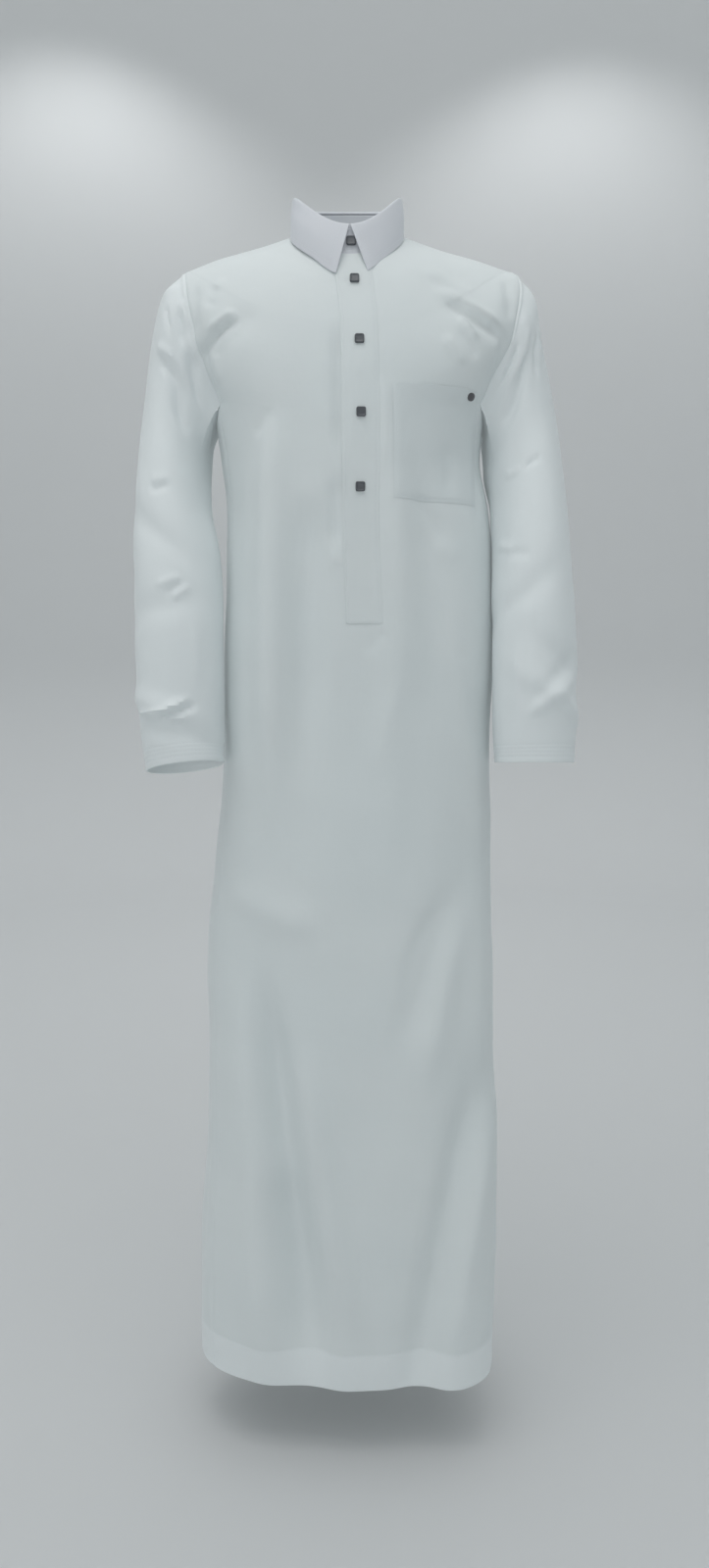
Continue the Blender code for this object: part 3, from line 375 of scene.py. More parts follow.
# Fine creases of the sleeves, placed by degrees round the sleeve and by the length down it.
Pull = namedtuple("Pull", "a0 s0 a1 s1 a2 s2 width rise")
LEFT_PULLS = table(
    Pull,
    (54, 62, 62, 88, 56, 120, 4.8, -3.4),
    (46, 54, 53, 82, 46, 112, 5.5, 2.1),
    (88, 12, 104, 24, 122, 34, 6, -3.6),
    (84, 50, 97, 86, 122, 124, 14, -5.7),
    (30, 6, 40, 30, 46, 52, 6, 1.6),
    (72, 6, 74, 30, 80, 54, 6, 1.8),
    (18, 8, 16, 34, 20, 60, 6, -1.6),
    (132, 186, 118, 198, 104, 204, 5, 2.1),
    (104, 206, 88, 208, 70, 214, 5, -2.6),
    (162, 292, 142, 302, 120, 316, 5.5, 2.3),
    (136, 314, 116, 324, 98, 330, 5.5, -1.8),
    (112, 556, 70, 518, 8, 484, 10, 3.9),
    (106, 532, 66, 492, 12, 456, 11, -2.6),
    (118, 440, 124, 500, 116, 556, 7, 1.3),
    (-60, 300, -90, 330, -120, 346, 8, -4.4),
    (-50, 336, -84, 362, -116, 372, 8, 3.9),
    (-40, 404, -80, 418, -112, 414, 7, -2.9),
    (-70, 500, -100, 520, -126, 520, 7, 2.9),
    (-88, 10, -96, 40, -104, 80, 6, -2.9),
    (-70, 10, -76, 40, -90, 84, 6, 2.3),
)
RIGHT_PULLS = table(
    Pull,
    (48, 34, 58, 42, 74, 50, 4.8, -2.9),
    (62, 16, 76, 22, 90, 34, 4.8, -3.1),
    (56, 10, 66, 12, 84, 10, 4.8, 2.1),
    (98, 10, 108, 32, 130, 68, 8, -4.4),
    (96, 50, 98, 96, 116, 140, 14, -5.7),
    (40, 10, 38, 24, 42, 36, 6, 2.1),
    (20, 6, 16, 30, 20, 56, 6, -1.6),
    (48, 92, 66, 76, 90, 60, 4.5, 3.1),
    (56, 100, 74, 90, 96, 78, 6, -3.4),
    (56, 262, 76, 252, 96, 232, 4.8, -3.1),
    (60, 250, 80, 240, 98, 222, 5, 1.6),
    (66, 384, 86, 374, 106, 360, 4.5, 2.3),
    (78, 392, 92, 382, 106, 368, 3.6, -2.3),
    (88, 398, 102, 386, 118, 370, 4, 2.3),
    (20, 530, 66, 544, 114, 520, 5.5, 6),
    (62, 552, 92, 546, 122, 534, 5.5, -6),
    (74, 552, 90, 557, 106, 556, 3, 2.1),
    (70, 561, 90, 564, 108, 562, 3, -2.1),
    (112, 420, 120, 470, 114, 520, 7, 1.3),
    (-60, 310, -88, 334, -118, 340, 8, -4.4),
    (-54, 342, -84, 366, -114, 370, 8, 3.9),
    (-44, 424, -78, 440, -110, 438, 7, -2.9),
    (-66, 510, -98, 530, -124, 534, 7, 2.9),
    (-84, 10, -92, 40, -100, 80, 6, -2.9),
    (-66, 10, -74, 40, -88, 84, 6, 2.3),
)
WELT_RISE = 0.0011
WELT_AT = 0.0035
WELT_WIDTH = 0.0022
WELT_END = 0.5
WELT_FADE = 0.8
CHANNEL_ROWS = (0.010, 0.016, 0.022, 0.028)
CHANNEL_RISE = 0.00035
CHANNEL_WIDTH = 0.0012
WELT_WAVE_FADE = 0.02

# The collar: the stand's upper edge, and the roll and lower edge of the leaf.
STAND_HALF_WIDTH = 0.0638
STAND_FRONT_Y = -0.0700
STAND_BACK_Y = 0.0560
STAND_FRONT_Z = -0.0210
STAND_SIDE_Z = 0.0345
STAND_BACK_Z = 0.0470
STAND_ROWS = 10
STAND_RISE = 0.03
LEAF_TIP_ANGLE = 10.0
LEAF_TIP_SHIFT = 2.0
LEAF_END_ANGLE = 0.6
LEAF_REST = 0.0004
LEAF_OVER_PLACKET = 0.0012
LEAF_BULGE = 0.0019
LEAF_STEP = 0.006
LEAF_RADIUS = 0.06
LEAF_WAVES = 1.4
LEAF_STITCH = 0.0055
Roll = namedtuple("Roll", "out up")
LEAF_ROLL = table(
    Roll,
    (0, 1.3),
    (0.4, 3.1),
    (2.1, 4.2),
    (4, 3.2),
)
LEAF_FALL_LINES = 4
LEAF_COLUMNS = 220
LEAF_ROUND = 0.40
LEAF_ROLL_ROWS = 13
LEAF_FALL_ROWS = 22
LEAF_FALL = 0.04
Edge = namedtuple("Edge", "angle row")
LEAF_EDGE = table(
    Edge,
    (10, 2.67),
    (30, 2.83),
    (60, 2.9),
    (90, 2.965),
    (135, 2.94),
    (180, 2.88),
)

# The placket, the pocket and what is sewn on them
PLACKET_HALF_WIDTH = 0.0215
PLACKET_LENGTH = 0.45
PLACKET_GRID = (20, 170)
PLACKET_FOOT_Z = -0.486
PLACKET_BOX_Z = -0.444
PLACKET_FOOT_STITCH = 0.0028
PLACKET_WALL = 0.0009
PLACKET_LAID_ON = 0.0002
PLACKET_PROUD = 0.0017
PROUD_WIDTH = 0.22
PROUD_FOOT_Z = -0.36
PROUD_FOOT_FADE = 0.06
PROUD_TOP_Z = -0.13
PROUD_TOP_FADE = 0.05
PLACKET_THIN_EDGE = 0.4
PLACKET_EASE = 0.006
PLACKET_COLUMN = 0.1
POCKET_INNER_X = 0.049
POCKET_OUTER_X = 0.1525
POCKET_SPREAD = 0.168
POCKET_TOP_Z = -0.2095
POCKET_FOOT_Z = -0.342
POCKET_WIDTH = 0.13
POCKET_HEIGHT = 0.132
POCKET_GRID = (46, 44)
POCKET_WALL = 0.0008
POCKET_LAID_ON = 0.0003
POCKET_GAPE = 0.0012
POCKET_GAPE_DEPTH = 0.014
POCKET_THIN_EDGE = 0.2
POCKET_EASE = 0.007
BUTTON_SIDE = 0.0112
BUTTON_THICKNESS = 0.0030
BUTTON_SINK = 0.0002
BUTTON_HEIGHTS = (-0.0362, -0.0839, -0.1596, -0.2443, -0.3286)
STUD_X = 0.1430
STUD_Z = -0.2165

# Sewing thread
STITCH_LENGTH = 0.0030
STITCH_GAP = 0.0014
THREAD_RADIUS = 0.00022
STITCH_SINK = 0.00006
THREAD_TAPER = 0.62
NECK_STITCH_ROW = 2.98

# The sizes that the pieces are cut to, how each is held and by what: width and length, and the area where a
# piece isn't a rectangle.
Cloth = namedtuple("Cloth", "width length area held rests_on")

# Radius and height of a button's rings, as shares of half its side and of its thickness, and of the stud's
# rings as sizes. A squareness of 2 is round.
BUTTON_SQUARENESS = 6.0
STUD_SQUARENESS = 2.2
STUD_STRETCH = 1.2
BUTTON_RINGS = (
    (0.00, 0.00), (0.96, 0.00), (1.00, 0.12), (1.00, 0.60), (0.97, 0.82), (0.91, 0.95), (0.84, 1.00),
    (0.79, 0.97), (0.74, 0.86), (0.66, 0.80), (0.40, 0.79), (0.00, 0.80),
)
STUD_RINGS = (
    (0.00, 0.00), (0.0044, 0.00), (0.0048, 0.0003), (0.0048, 0.0008), (0.0045, 0.0012), (0.0041, 0.0012),
    (0.0039, 0.0011), (0.0035, 0.0015), (0.0025, 0.0020), (0.0012, 0.0023), (0.00, 0.0024),
)

# Each cloth's colour, its thread spacing, the height of its turned-up and so paler edge, and the grooves
# that its rows of stitches press: the axis (u along the cloth, v up it), where, half its width and its
# depth, in metres.
Groove = namedtuple("Groove", "axis at width depth")
Weave = namedtuple("Weave", "slot colour tint pitch roughness sheen turned grooves")
WEAVES = {
    "cotton_body": Weave(
        "white_cotton", (0.775, 0.832, 0.840), (0.800, 0.846, 0.850), 0.00042, 0.56, 0.30, HEM_TURN,
        (Groove("v", 0.0480, 0.0010, 0.00012), Groove("v", 0.0502, 0.0005, 0.00012)),
    ),
    # The sleeves are the same cloth as the body: their darker colour and tint are painted shade.
    "cotton_sleeve": Weave(
        "white_cotton", (0.722, 0.777, 0.786), (0.747, 0.792, 0.797), 0.00042, 0.56, 0.24, CUFF_TURN, ()
    ),
    "cotton_placket": Weave(
        "white_cotton", (0.766, 0.823, 0.831), (0.791, 0.837, 0.841), 0.00042, 0.54, 0.30, 0.0,
        (Groove("u", 0.0022, 0.0010, 0.00018), Groove("u", 0.0408, 0.0010, 0.00007)),
    ),
    # The pocket is the same cloth as the body: its darker colour and tint are painted shade.
    "cotton_pocket_painted_shade": Weave(
        "white_cotton", (0.742, 0.800, 0.811), (0.767, 0.816, 0.822), 0.00042, 0.58, 0.27, 0.0,
        (Groove("u", 0.0022, 0.0010, 0.00006), Groove("v", 0.0022, 0.0010, 0.00006)),
    ),
    "cotton_collar": Weave(
        "collar_cotton", (0.700, 0.728, 0.775), (0.725, 0.745, 0.785), 0.00036, 0.50, 0.34, 0.0,
        (Groove("v", 0.0055, 0.0010, 0.00030),),
    ),
}
TURNED_WHITE = (0.848, 0.896, 0.906)
TURN_BELOW = 0.0060
TURN_ABOVE = 0.0030
SLUB_PITCHES = 0.6
SLUB_RUN = 18.0
SLOTS = {name: weave.slot for name, weave in WEAVES.items()}
SLOTS |= {"thread": "white_cotton", "button_grey": "button_grey", "dark_metal": "dark_metal"}

# The room
FLOOR_Z = -1.56
ROOM_RADIUS = 4.6
ROOM_CORNER = 1.1
ROOM_TOP_Z = 3.6
ROOM_SIDES = 96
WASH_ANGLE = 96

# The soft panels. The fills at the sides and in front cast no shadow, so that narrow gaps don't go black.
Lamp = namedtuple("Lamp", "name place aim width height watts colour shadow")
LAMPS = (
    Lamp("overhead_panel", (-0.35, -0.75, 1.75), (0, -0.05, -0.40), 1.8, 1.2, 10.5, (1.0, 0.975, 0.96), True),
    Lamp("left_fill", (-2.7, -2.3, 0.3), (0.0, 0.0, -0.85), 2.0, 2.0, 10.0, (1.0, 0.985, 0.975), False),
    Lamp("right_fill", (2.9, -1.6, -0.2), (0.0, 0.0, -0.75), 2.0, 2.0, 1.5, (0.985, 0.995, 1.0), False),
    Lamp("front_fill", (0.25, -2.9, -0.35), (0.0, 0.0, -0.65), 1.6, 1.6, 4.5, (0.975, 0.990, 1.0), False),
)

# Spots under the room's upper edge that wash the wall behind: where they hang and where they point.
Wash = namedtuple("Wash", "name place aim watts")
WASHES = (
    Wash("wall_wash_right", (-1.18, 3.55, 3.30), (-1.18, 3.75, 2.0), 54.0),
    Wash("wall_wash_left", (0.93, 3.60, 3.30), (0.93, 3.80, 2.0), 50.0),
)

HEM_Z, ARMPIT_Z = RINGS[0].height, RINGS[-1].height
SKIRT = ARMPIT_Z - HEM_Z
ARMPIT_SEAM = math.radians(RINGS[-1].seam)
ARMHOLE_END = math.pi - math.asin(RINGS[-1].front * math.cos(ARMPIT_SEAM) / ARMHOLE_HALF_DEPTH)
ARMHOLE_MIDDLE_Z = (SHOULDER_TIP_Z + ARMHOLE_LOW_Z) / 2
ARMHOLE_HALF_HEIGHT = (SHOULDER_TIP_Z - ARMHOLE_LOW_Z) / 2
ARMHOLE_END_Z = ARMHOLE_MIDDLE_Z + ARMHOLE_HALF_HEIGHT * math.cos(ARMHOLE_END)
ARMPIT_DIP = (ARMPIT_Z - ARMHOLE_END_Z) / math.cos(ARMPIT_SEAM) ** 2

# At the underarm the rings hand over to the middle lines and the armholes.
MIDDLES.insert(
    0, Middle(1.0, -RINGS[-1].front, ARMPIT_Z - ARMPIT_DIP, RINGS[-1].back, ARMPIT_Z - ARMPIT_DIP)
)
SEAM_OUT = math.sin(ARMPIT_SEAM)
ARMHOLES.append(Armhole(math.degrees(ARMHOLE_END), RINGS[-1].left * SEAM_OUT, RINGS[-1].right * SEAM_OUT))


def column(rows, name):
    return np.array([getattr(row, name) for row in rows], float)


def smooth_curve(knots, values, at):
    """A curve through the knots that never overshoots them: cubics whose slopes are harmonic means."""
    at = np.asarray(at, float)
    spans = np.diff(knots)
    slopes = np.diff(values) / spans
    product = slopes[:-1] * slopes[1:]
    total = slopes[:-1] + slopes[1:]
    inner = np.where(product > 0, 2 * product / np.where(product > 0, total, 1.0), 0.0)
    tangents = np.concatenate([slopes[:1], inner, slopes[-1:]])
    k = np.clip(np.searchsorted(knots, at, side="right") - 1, 0, len(spans) - 1)
    t = (at - knots[k]) / spans[k]
    return cubic(values[k], values[k + 1], tangents[k] * spans[k], tangents[k + 1] * spans[k], t)


def cubic(start, end, lean_in, lean_out, t):
    """The cubic from start to end with these slopes at its ends."""
    return (
        start * (1 + 2 * t) * (1 - t) ** 2
        + end * t * t * (3 - 2 * t)
        + lean_in * t * (1 - t) ** 2
        + lean_out * t * t * (t - 1)
    )


def look_up(rows, key, name, at):
    """One column of a table as a smooth curve over another."""
    return smooth_curve(column(rows, key), column(rows, name), at)


def ease(t):
    """0 below 0, 1 above 1, and a smooth step between."""
    t = np.clip(t, 0.0, 1.0)
    return t * t * (3 - 2 * t)


def bell(t):
    """A bell curve: e to the power of minus t squared."""
    return np.exp(-(t**2))


def unit(vectors):
    return vectors / np.maximum(np.linalg.norm(vectors, axis=-1, keepdims=True), 1e-12)


def side_name(side):
    return "left" if side > 0 else "right"


def row_height(row):
    """Height of a skirt row where it passes the side of the body."""
    return HEM_Z + SKIRT * row


def armhole_out(angle, side):
    """How far out the armhole seam lies at this angle (radians) from the shoulder tip."""
    angles, outs = column(ARMHOLES, "angle"), column(ARMHOLES, side_name(side))
    angles = np.concatenate([-angles[:0:-1], angles])
    return smooth_curve(angles, np.concatenate([outs[:0:-1], outs]), np.degrees(angle))


def row_sizes(row, half, side):
    """The depth, half width, middle height, edge height, edge angle and squareness of these rows."""
    part, name = "front" if half < 0 else "back", side_name(side)
    height = row_height(np.minimum(row, 1.0))
    dip = ARMPIT_DIP * ease((height - DIP_ENDS_Z) / (ARMPIT_Z - DIP_ENDS_Z))
    depth, width, square = (look_up(RINGS, "height", k, height) for k in (part, name, "square_" + name))
    skirt = [depth, width, height - dip, height, np.full_like(row, math.pi / 2), square]

    upper_row = np.maximum(row, 1.0)
    turn = ARMHOLE_END * np.clip(2.0 - row, 0.0, 1.0)
    upper_depth = np.abs(look_up(MIDDLES, "row", part + "_y", upper_row))
    seam_y = ARMHOLE_HALF_DEPTH * np.sin(turn) * getattr(RINGS[-1], part) / RINGS[-1].front
    edge = np.arccos(np.clip(seam_y / upper_depth, 0.0, 1.0))
    climb = np.clip(row - 2.0, 0.0, None)
    tip, neck = getattr(ARMHOLES[0], name), NECK_HALF_WIDTH + side * COLLAR_SHIFT
    out = np.where(row < 2.0, armhole_out(turn, side), tip + (neck - tip) * climb)
    edge_z = ARMHOLE_MIDDLE_Z + ARMHOLE_HALF_HEIGHT * np.cos(turn)
    edge_z = np.where(row < 2.0, edge_z, SHOULDER_TIP_Z * (1.0 - climb))
    middle_z = look_up(MIDDLES, "row", part + "_z", upper_row)
    upper = [upper_depth, out / np.sin(edge), middle_z, edge_z, edge, np.full_like(row, 2.0)]
    return [np.where(row > 1.0, high, low) for low, high in zip(skirt, upper)]


def underarm_fill(x, z, half):
    """How far the cloth stands in front of the ellipses about the line where they start to widen for the
    armholes, with s as x over their half width there: FILL s^2 / sqrt(1 - s^2), times e^-d, with d as the
    distance from that line over FILL_BELOW or FILL_ABOVE. Its cusp makes up for their corner. s stops short
    of the side by a smooth minimum."""
    reach = np.abs(x) / np.where(x > 0, RINGS[-1].left, RINGS[-1].right)
    share = ((reach + FILL_WIDEST - np.hypot(reach - FILL_WIDEST, FILL_SOFTNESS)) / 2) ** 2
    line = ARMPIT_Z - ARMPIT_DIP * (1 - share)
    length = np.where(z < line, FILL_BELOW, FILL_ABOVE)
    fill = FILL if half < 0 else FILL_BACK
    return fill * share / np.sqrt(1 - share) * np.exp(-np.abs(z - line) / length)


def both_sizes(on_left, row, half):
    """row_sizes, each value taken from its own side of the body."""
    return [np.where(on_left, a, b) for a, b in zip(row_sizes(row, half, 1), row_sizes(row, half, -1))]


def body_surface(angle, row, half):
    """The plain body: an ellipse, squared off where square is over 2, that climbs from the middle line to
    the side as the sine squared of the angle, and near the neck partly as one less the cosine. angle is
    signed, + to the wearer's left; half is -1 in front."""
    angle, row = np.broadcast_arrays(np.asarray(angle, float), np.asarray(row, float))
    depth, width, middle_z, edge_z, edge, square = both_sizes(angle > 0, row, half)
    sine, cosine = np.sin(angle), np.cos(angle)
    corner = (np.abs(sine) ** square + np.abs(cosine) ** square) ** (1.0 / square)
    x = width * sine / corner
    y = half * depth * cosine / corner
    ridge = NECK_RIDGE * ease((row - NECK_RIDGE_ROW) / NECK_RIDGE_FADE)
    climb = (1 - ridge) * sine**2 / np.sin(edge) ** 2 + ridge * (1 - np.abs(cosine))
    z = middle_z + (edge_z - middle_z) * climb
    y = y + half * underarm_fill(x, z, half) * ease(cosine / FOLD_EDGE)
    return np.stack([x, y, z], axis=-1)


def normals_of(surface, first, second, outward):
    """Unit normals of surface(first, second), by small steps each way."""
    along = surface(first + STEP, second) - surface(first - STEP, second)
    up = surface(first, second + STEP) - surface(first, second - STEP)
    return outward * unit(np.cross(along, up))


def fold_rise(x, z, folds):
    """Each fold is a soft ridge or trough about its line, which fades at both ends."""
    total = np.zeros_like(x)
    for fold in folds:
        run_x, run_z = fold.foot_x - fold.top_x, fold.foot_z - fold.top_z
        length = math.hypot(run_x, run_z)
        along = ((x - fold.top_x) * run_x + (z - fold.top_z) * run_z) / length**2
        across = ((x - fold.top_x) * run_z - (z - fold.top_z) * run_x) / length
        width = fold.top_width + (fold.foot_width - fold.top_width) * np.clip(along, 0.0, 1.0)
        fade = ease((along + FOLD_RUN_ON) / FOLD_END_FADE) * ease((1 + FOLD_RUN_ON - along) / FOLD_END_FADE)
        total += fold.rise * fade * bell(across / width)
    return total


def crease_rise(x, z, creases):
    """Each crease is a soft ridge or trough about a bent line, which narrows and fades at both ends: the
    rise falls off as the bell curve of the distance to the nearest of the line's short straight steps."""
    total = np.zeros_like(x)
    t = np.linspace(0.0, 1.0, CREASE_STEPS + 1)[:, None]
    for crease in creases:
        start, middle, end = (np.array(crease[k : k + 2]) for k in (0, 2, 4))
        control = 2 * middle - (start + end) / 2
        line = start * (1 - t) ** 2 + control * 2 * t * (1 - t) + end * t**2
        reach = CREASE_REACH * crease.width
        low, high = line.min(0) - reach, line.max(0) + reach
        near = (x > low[0]) & (x < high[0]) & (z > low[1]) & (z < high[1])
        spots = np.stack([x[near], z[near]], axis=-1)[:, None]
        runs = np.diff(line, axis=0)
        share = np.clip(((spots - line[:-1]) * runs).sum(-1) / (runs**2).sum(-1), 0.0, 1.0)
        apart = np.linalg.norm(spots - line[:-1] - runs * share[..., None], axis=-1)
        step, pick = apart.argmin(1), np.arange(len(apart))
        along = (step + share[pick, step]) / CREASE_STEPS
        fade = ease(along / CREASE_END_FADE) * ease((1 - along) / CREASE_END_FADE)
        width = crease.width * (CREASE_TIP_WIDTH + (1 - CREASE_TIP_WIDTH) * fade)
        total[near] += crease.rise * fade * bell(apart[pick, step] / width)
    return total


def waviness(x, z, seed):
    """A sum of slow waves that run in every direction across the cloth."""
    dice = np.random.default_rng(seed)
    heading = dice.uniform(0, 2 * math.pi, WAVES)
    length = dice.uniform(WAVE_SHORTEST, WAVE_LONGEST, WAVES)
    start = dice.uniform(0, 2 * math.pi, WAVES)
    total = np.zeros_like(x)
    for k in range(WAVES):
        ahead = x * math.cos(heading[k]) + WAVE_STRETCH * z * math.sin(heading[k])
        total += WAVE_RISE * np.sin(2 * math.pi * ahead / length[k] + start[k])
    return total


def cloth(angle, row, half):
    """The body with its folds, creases and slow waves, each a rise along the plain body's normal. All of
    them die away towards the sides and the shoulder seams, and towards the neckline."""
    plain = body_surface(angle, row, half)
    steady = np.minimum(row, 3.0 - 2 * STEP)
    normal = normals_of(lambda a, r: body_surface(a, r, half), angle, steady, -half)
    x, z = plain[..., 0], plain[..., 2]
    folds, creases = (FRONT_FOLDS, FRONT_CREASES) if half < 0 else (BACK_FOLDS, BACK_CREASES)
    rise = fold_rise(x, z, folds) * ease(np.cos(angle) / FOLD_EDGE)
    wave = waviness(x, z, WAVE_SEEDS["front" if half < 0 else "back"])
    rise = rise + (crease_rise(x, z, creases) + wave) * ease(np.cos(angle) / CREASE_EDGE)
    return plain + normal * (rise * ease((FOLD_TOP_ROW - row) / FOLD_TOP_FADE))[..., None]


def cloth_and_normal(angle, row, half):
    """Points of the finished body with their outward normals, taken from below at the underarm's corner."""
    steady = np.where(row > 1.0, row, np.minimum(row, 1.0 - 2 * STEP))
    return cloth(angle, row, half), normals_of(lambda a, r: cloth(a, r, half), angle, steady, -half)


def seam_angle(row, half):
    """The angle at which the front or back panel ends, in radians."""
    skirt = np.radians(look_up(RINGS, "height", "seam", row_height(np.minimum(row, 1.0))))
    return np.where(row > 1.0, row_sizes(np.maximum(row, 1.0 + 1e-9), half, 1)[4], skirt)


def front_angle(across, row):
    """across runs from -1 to 1 over the front; the placket lies within PLACKET_COLUMN of its middle."""
    swing = look_up(SWINGS, "row", "x", row)
    width = row_sizes(row, -1, 1)[1]
    low = np.arcsin((swing - PLACKET_HALF_WIDTH) / width)
    high = np.arcsin((swing + PLACKET_HALF_WIDTH) / width)
    seam = seam_angle(row, -1)
    inside = low + (high - low) * (across / PLACKET_COLUMN + 1) / 2
    share = (np.abs(across) - PLACKET_COLUMN) / (1 - PLACKET_COLUMN)
    outside = np.where(across > 0, high + (seam - high) * share, low - (seam + low) * share)
    return np.where(np.abs(across) <= PLACKET_COLUMN, inside, outside)


def row_of_front(height):
    """The row that passes this height in the middle of the front."""
    rows = np.linspace(0.0, 3.0, 1201)
    return float(np.interp(height, body_surface(np.zeros_like(rows), rows, -1)[:, 2], rows))


def front_at(x, z):
    """The angle and row at which the plain front shows at x and z: in any row x gives the angle, because the
    tangent is t / (1 - t^q)^(1/q) with t as x over the half width and q the squareness, and halving finds the
    row that has the height."""
    low, high = np.zeros_like(x), np.full_like(x, 3.0)
    for _ in range(ROW_HALVINGS):
        row = (low + high) / 2
        sizes = both_sizes(x > 0, row, -1)
        share, square = np.minimum(np.abs(x) / sizes[1], 0.999), sizes[5]
        angle = np.sign(x) * np.arctan2(share, (1 - share**square) ** (1 / square))
        under = body_surface(angle, row, -1)[..., 2] < z
        low, high = np.where(under, row, low), np.where(under, high, row)
    return angle, row


def side_surface(turn, row, side):
    """The body under the arm, by the angle from the middle of the front; its top edge dips as the armhole.
    Folds of its own stand out about the side's middle line."""
    front_half = cloth(side * np.minimum(turn, math.pi / 2), row, -1)
    back_half = cloth(side * (math.pi - np.maximum(turn, math.pi / 2)), row, 1)
    points = np.where((turn <= math.pi / 2)[..., None], front_half, back_half)
    creases = SIDE_CREASES_LEFT if side > 0 else SIDE_CREASES_RIGHT
    rise = crease_rise(points[..., 1], points[..., 2], creases)
    reach = math.pi / 2 - seam_angle(row, -1)
    points[..., 0] += side * rise * ease((1 - np.abs(turn - math.pi / 2) / reach) / SIDE_EDGE)
    span = math.pi / 2 - ARMPIT_SEAM
    dip = (ARMPIT_Z - ARMHOLE_LOW_Z) * np.clip(1 - ((turn - math.pi / 2) / span) ** 2, 0.0, 1.0)
    points[..., 2] -= dip * ease((row - 1 + UNDERARM_FADE) / UNDERARM_FADE)
    return points


def steps_along(points, axis):
    """Distance run along the grid's lines from their start."""
    run = np.linalg.norm(np.diff(points, axis=axis), axis=-1).cumsum(axis)
    return np.concatenate([np.zeros_like(run.take([0], axis)), run], axis=axis)


def grid_normals(points, outward, tube=False):
    """Unit normals of a grid of points, from its neighbours each way. A tube's rows close on themselves."""
    if tube:
        along = np.roll(points, -1, axis=1) - np.roll(points, 1, axis=1)
    else:
        along = np.gradient(points, axis=1)
    return outward * unit(np.cross(along, np.gradient(points, axis=0)))


def spread(count, length, low=True, high=True):
    """0 to 1 in even steps, with the fine steps of a soft edge at the chosen ends. length is in metres."""
    fine = np.array(EDGE_STEPS) / length
    first = fine if low else np.zeros(1)
    last = 1 - fine[::-1] if high else np.ones(1)
    return np.concatenate([first, np.linspace(first[-1], last[0], count + 1)[1:-1], last])


def part_seams(points, normal):
    """Draws a panel's side edges in by half a seam gap, and lets the cloth sink into the seams."""
    points = points.copy()
    for edge, beside in ((0, 1), (-1, -2)):
        points[:, edge] += unit(points[:, beside] - points[:, edge]) * SEAM_GAP / 2
    from_first = steps_along(points, 1)
    from_last = from_first[:, -1:] - from_first
    sink = bell(from_first / SEAM_DIP_WIDTH) + bell(from_last / SEAM_DIP_WIDTH)
    return points - normal * (SEAM_DIP * sink)[..., None]


def soften(outer, inner, edges):
    """Rounds the named edges of a wall: both faces bend to its middle as a quarter circle near the edge."""
    thickness = np.linalg.norm(outer - inner, axis=-1)
    out = unit(outer - inner)
    for edge in edges:
        run = steps_along(outer, 0 if edge in ("low", "high") else 1)
        end = run[-1:] if edge == "high" else run[:, -1:]
        apart = end - run if edge in ("high", "last") else run
        share = np.clip(1 - apart / (thickness / 2), 0.0, 1.0)
        inset = (thickness * EDGE_SOFTNESS * (1 - np.sqrt(1 - share**2)))[..., None]
        outer, inner = outer - out * inset, inner + out * inset
    return outer, inner


def finish_piece(obj, finish, node_name=None):
    """Puts a piece on the body, with its material, and lets it stand for its solid."""
    obj.data.materials.append(bpy.data.materials[finish])
    bpy.context.scene.collection.objects.link(obj)
    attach(obj, "root")
    if node_name:
        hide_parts(node_name)


def mesh_object(name, points, faces, uv=None, sharp=40):
    """A mesh from whole arrays; faces all have the same number of corners, and uv has one pair a corner."""
    mesh = bpy.data.meshes.new(name)
    mesh.vertices.add(len(points))
    mesh.vertices.foreach_set("co", np.asarray(points, np.float32).ravel())
    mesh.loops.add(faces.size)
    mesh.loops.foreach_set("vertex_index", np.asarray(faces, np.int32).ravel())
    mesh.polygons.add(len(faces))
    mesh.polygons.foreach_set("loop_start", np.arange(0, faces.size, faces.shape[1], dtype=np.int32))
    mesh.update(calc_edges=True)
    if uv is not None:
        layer = mesh.uv_layers.new(name="UVMap")
        layer.data.foreach_set("uv", np.asarray(uv, np.float32).ravel())
    mesh.validate()
    mesh.shade_smooth()
    mesh.set_sharp_from_angle(angle=math.radians(sharp))
    return bpy.data.objects.new(name, mesh)


def shell(name, outer, inner, tube=False, u_from=0, v_from=0):
    """One closed thin shell between two matching grids: a wall of quads outside, one inside, and strips
    that join them round the open edges. Its UV is metres along the cloth, from column u_from and row
    v_from. A tube's last column joins its first."""
    rows, columns = outer.shape[:2]
    index = np.arange(rows * columns).reshape(rows, columns)
    if tube:
        index = np.concatenate([index, index[:, :1]], axis=1)
    wide = outer[:, np.arange(index.shape[1]) % columns]
    u, v = steps_along(wide, 1), steps_along(wide, 0)
    flat = np.stack([u - u[:, u_from][:, None], v - v[v_from]], axis=-1).reshape(-1, 2)
    place = np.arange(index.size).reshape(index.shape)
    back = rows * columns
    all_faces, all_uv = [], []

    def wall(near, far, near_shift, far_shift):
        """Faces between two lines of the virtual grid, with the layer of each line added."""
        corners = np.stack([near[:-1], near[1:], far[1:], far[:-1]], axis=-1)
        shift = np.array([near_shift, near_shift, far_shift, far_shift])
        all_faces.append(index.reshape(-1)[corners] + shift)
        all_uv.append(flat[corners])

    for i in range(rows - 1):
        wall(place[i], place[i + 1], 0, 0)
        wall(place[i + 1], place[i], back, back)
    wall(place[0], place[0], back, 0)
    wall(place[-1], place[-1], 0, back)
    if not tube:
        wall(place[:, 0], place[:, 0], 0, back)
        wall(place[:, -1], place[:, -1], back, 0)
    faces, uv = np.concatenate(all_faces), np.concatenate(all_uv)
    points = np.concatenate([outer.reshape(-1, 3), inner.reshape(-1, 3)])
    corner = points[faces]
    volume = np.linalg.det(corner[:, [0, 1, 2]]).sum() + np.linalg.det(corner[:, [0, 2, 3]]).sum()
    if volume < 0:
        faces, uv = faces[:, ::-1], uv[:, ::-1]
    return mesh_object(name, points, faces, uv)


Panel = namedtuple("Panel", "outer normal rows")


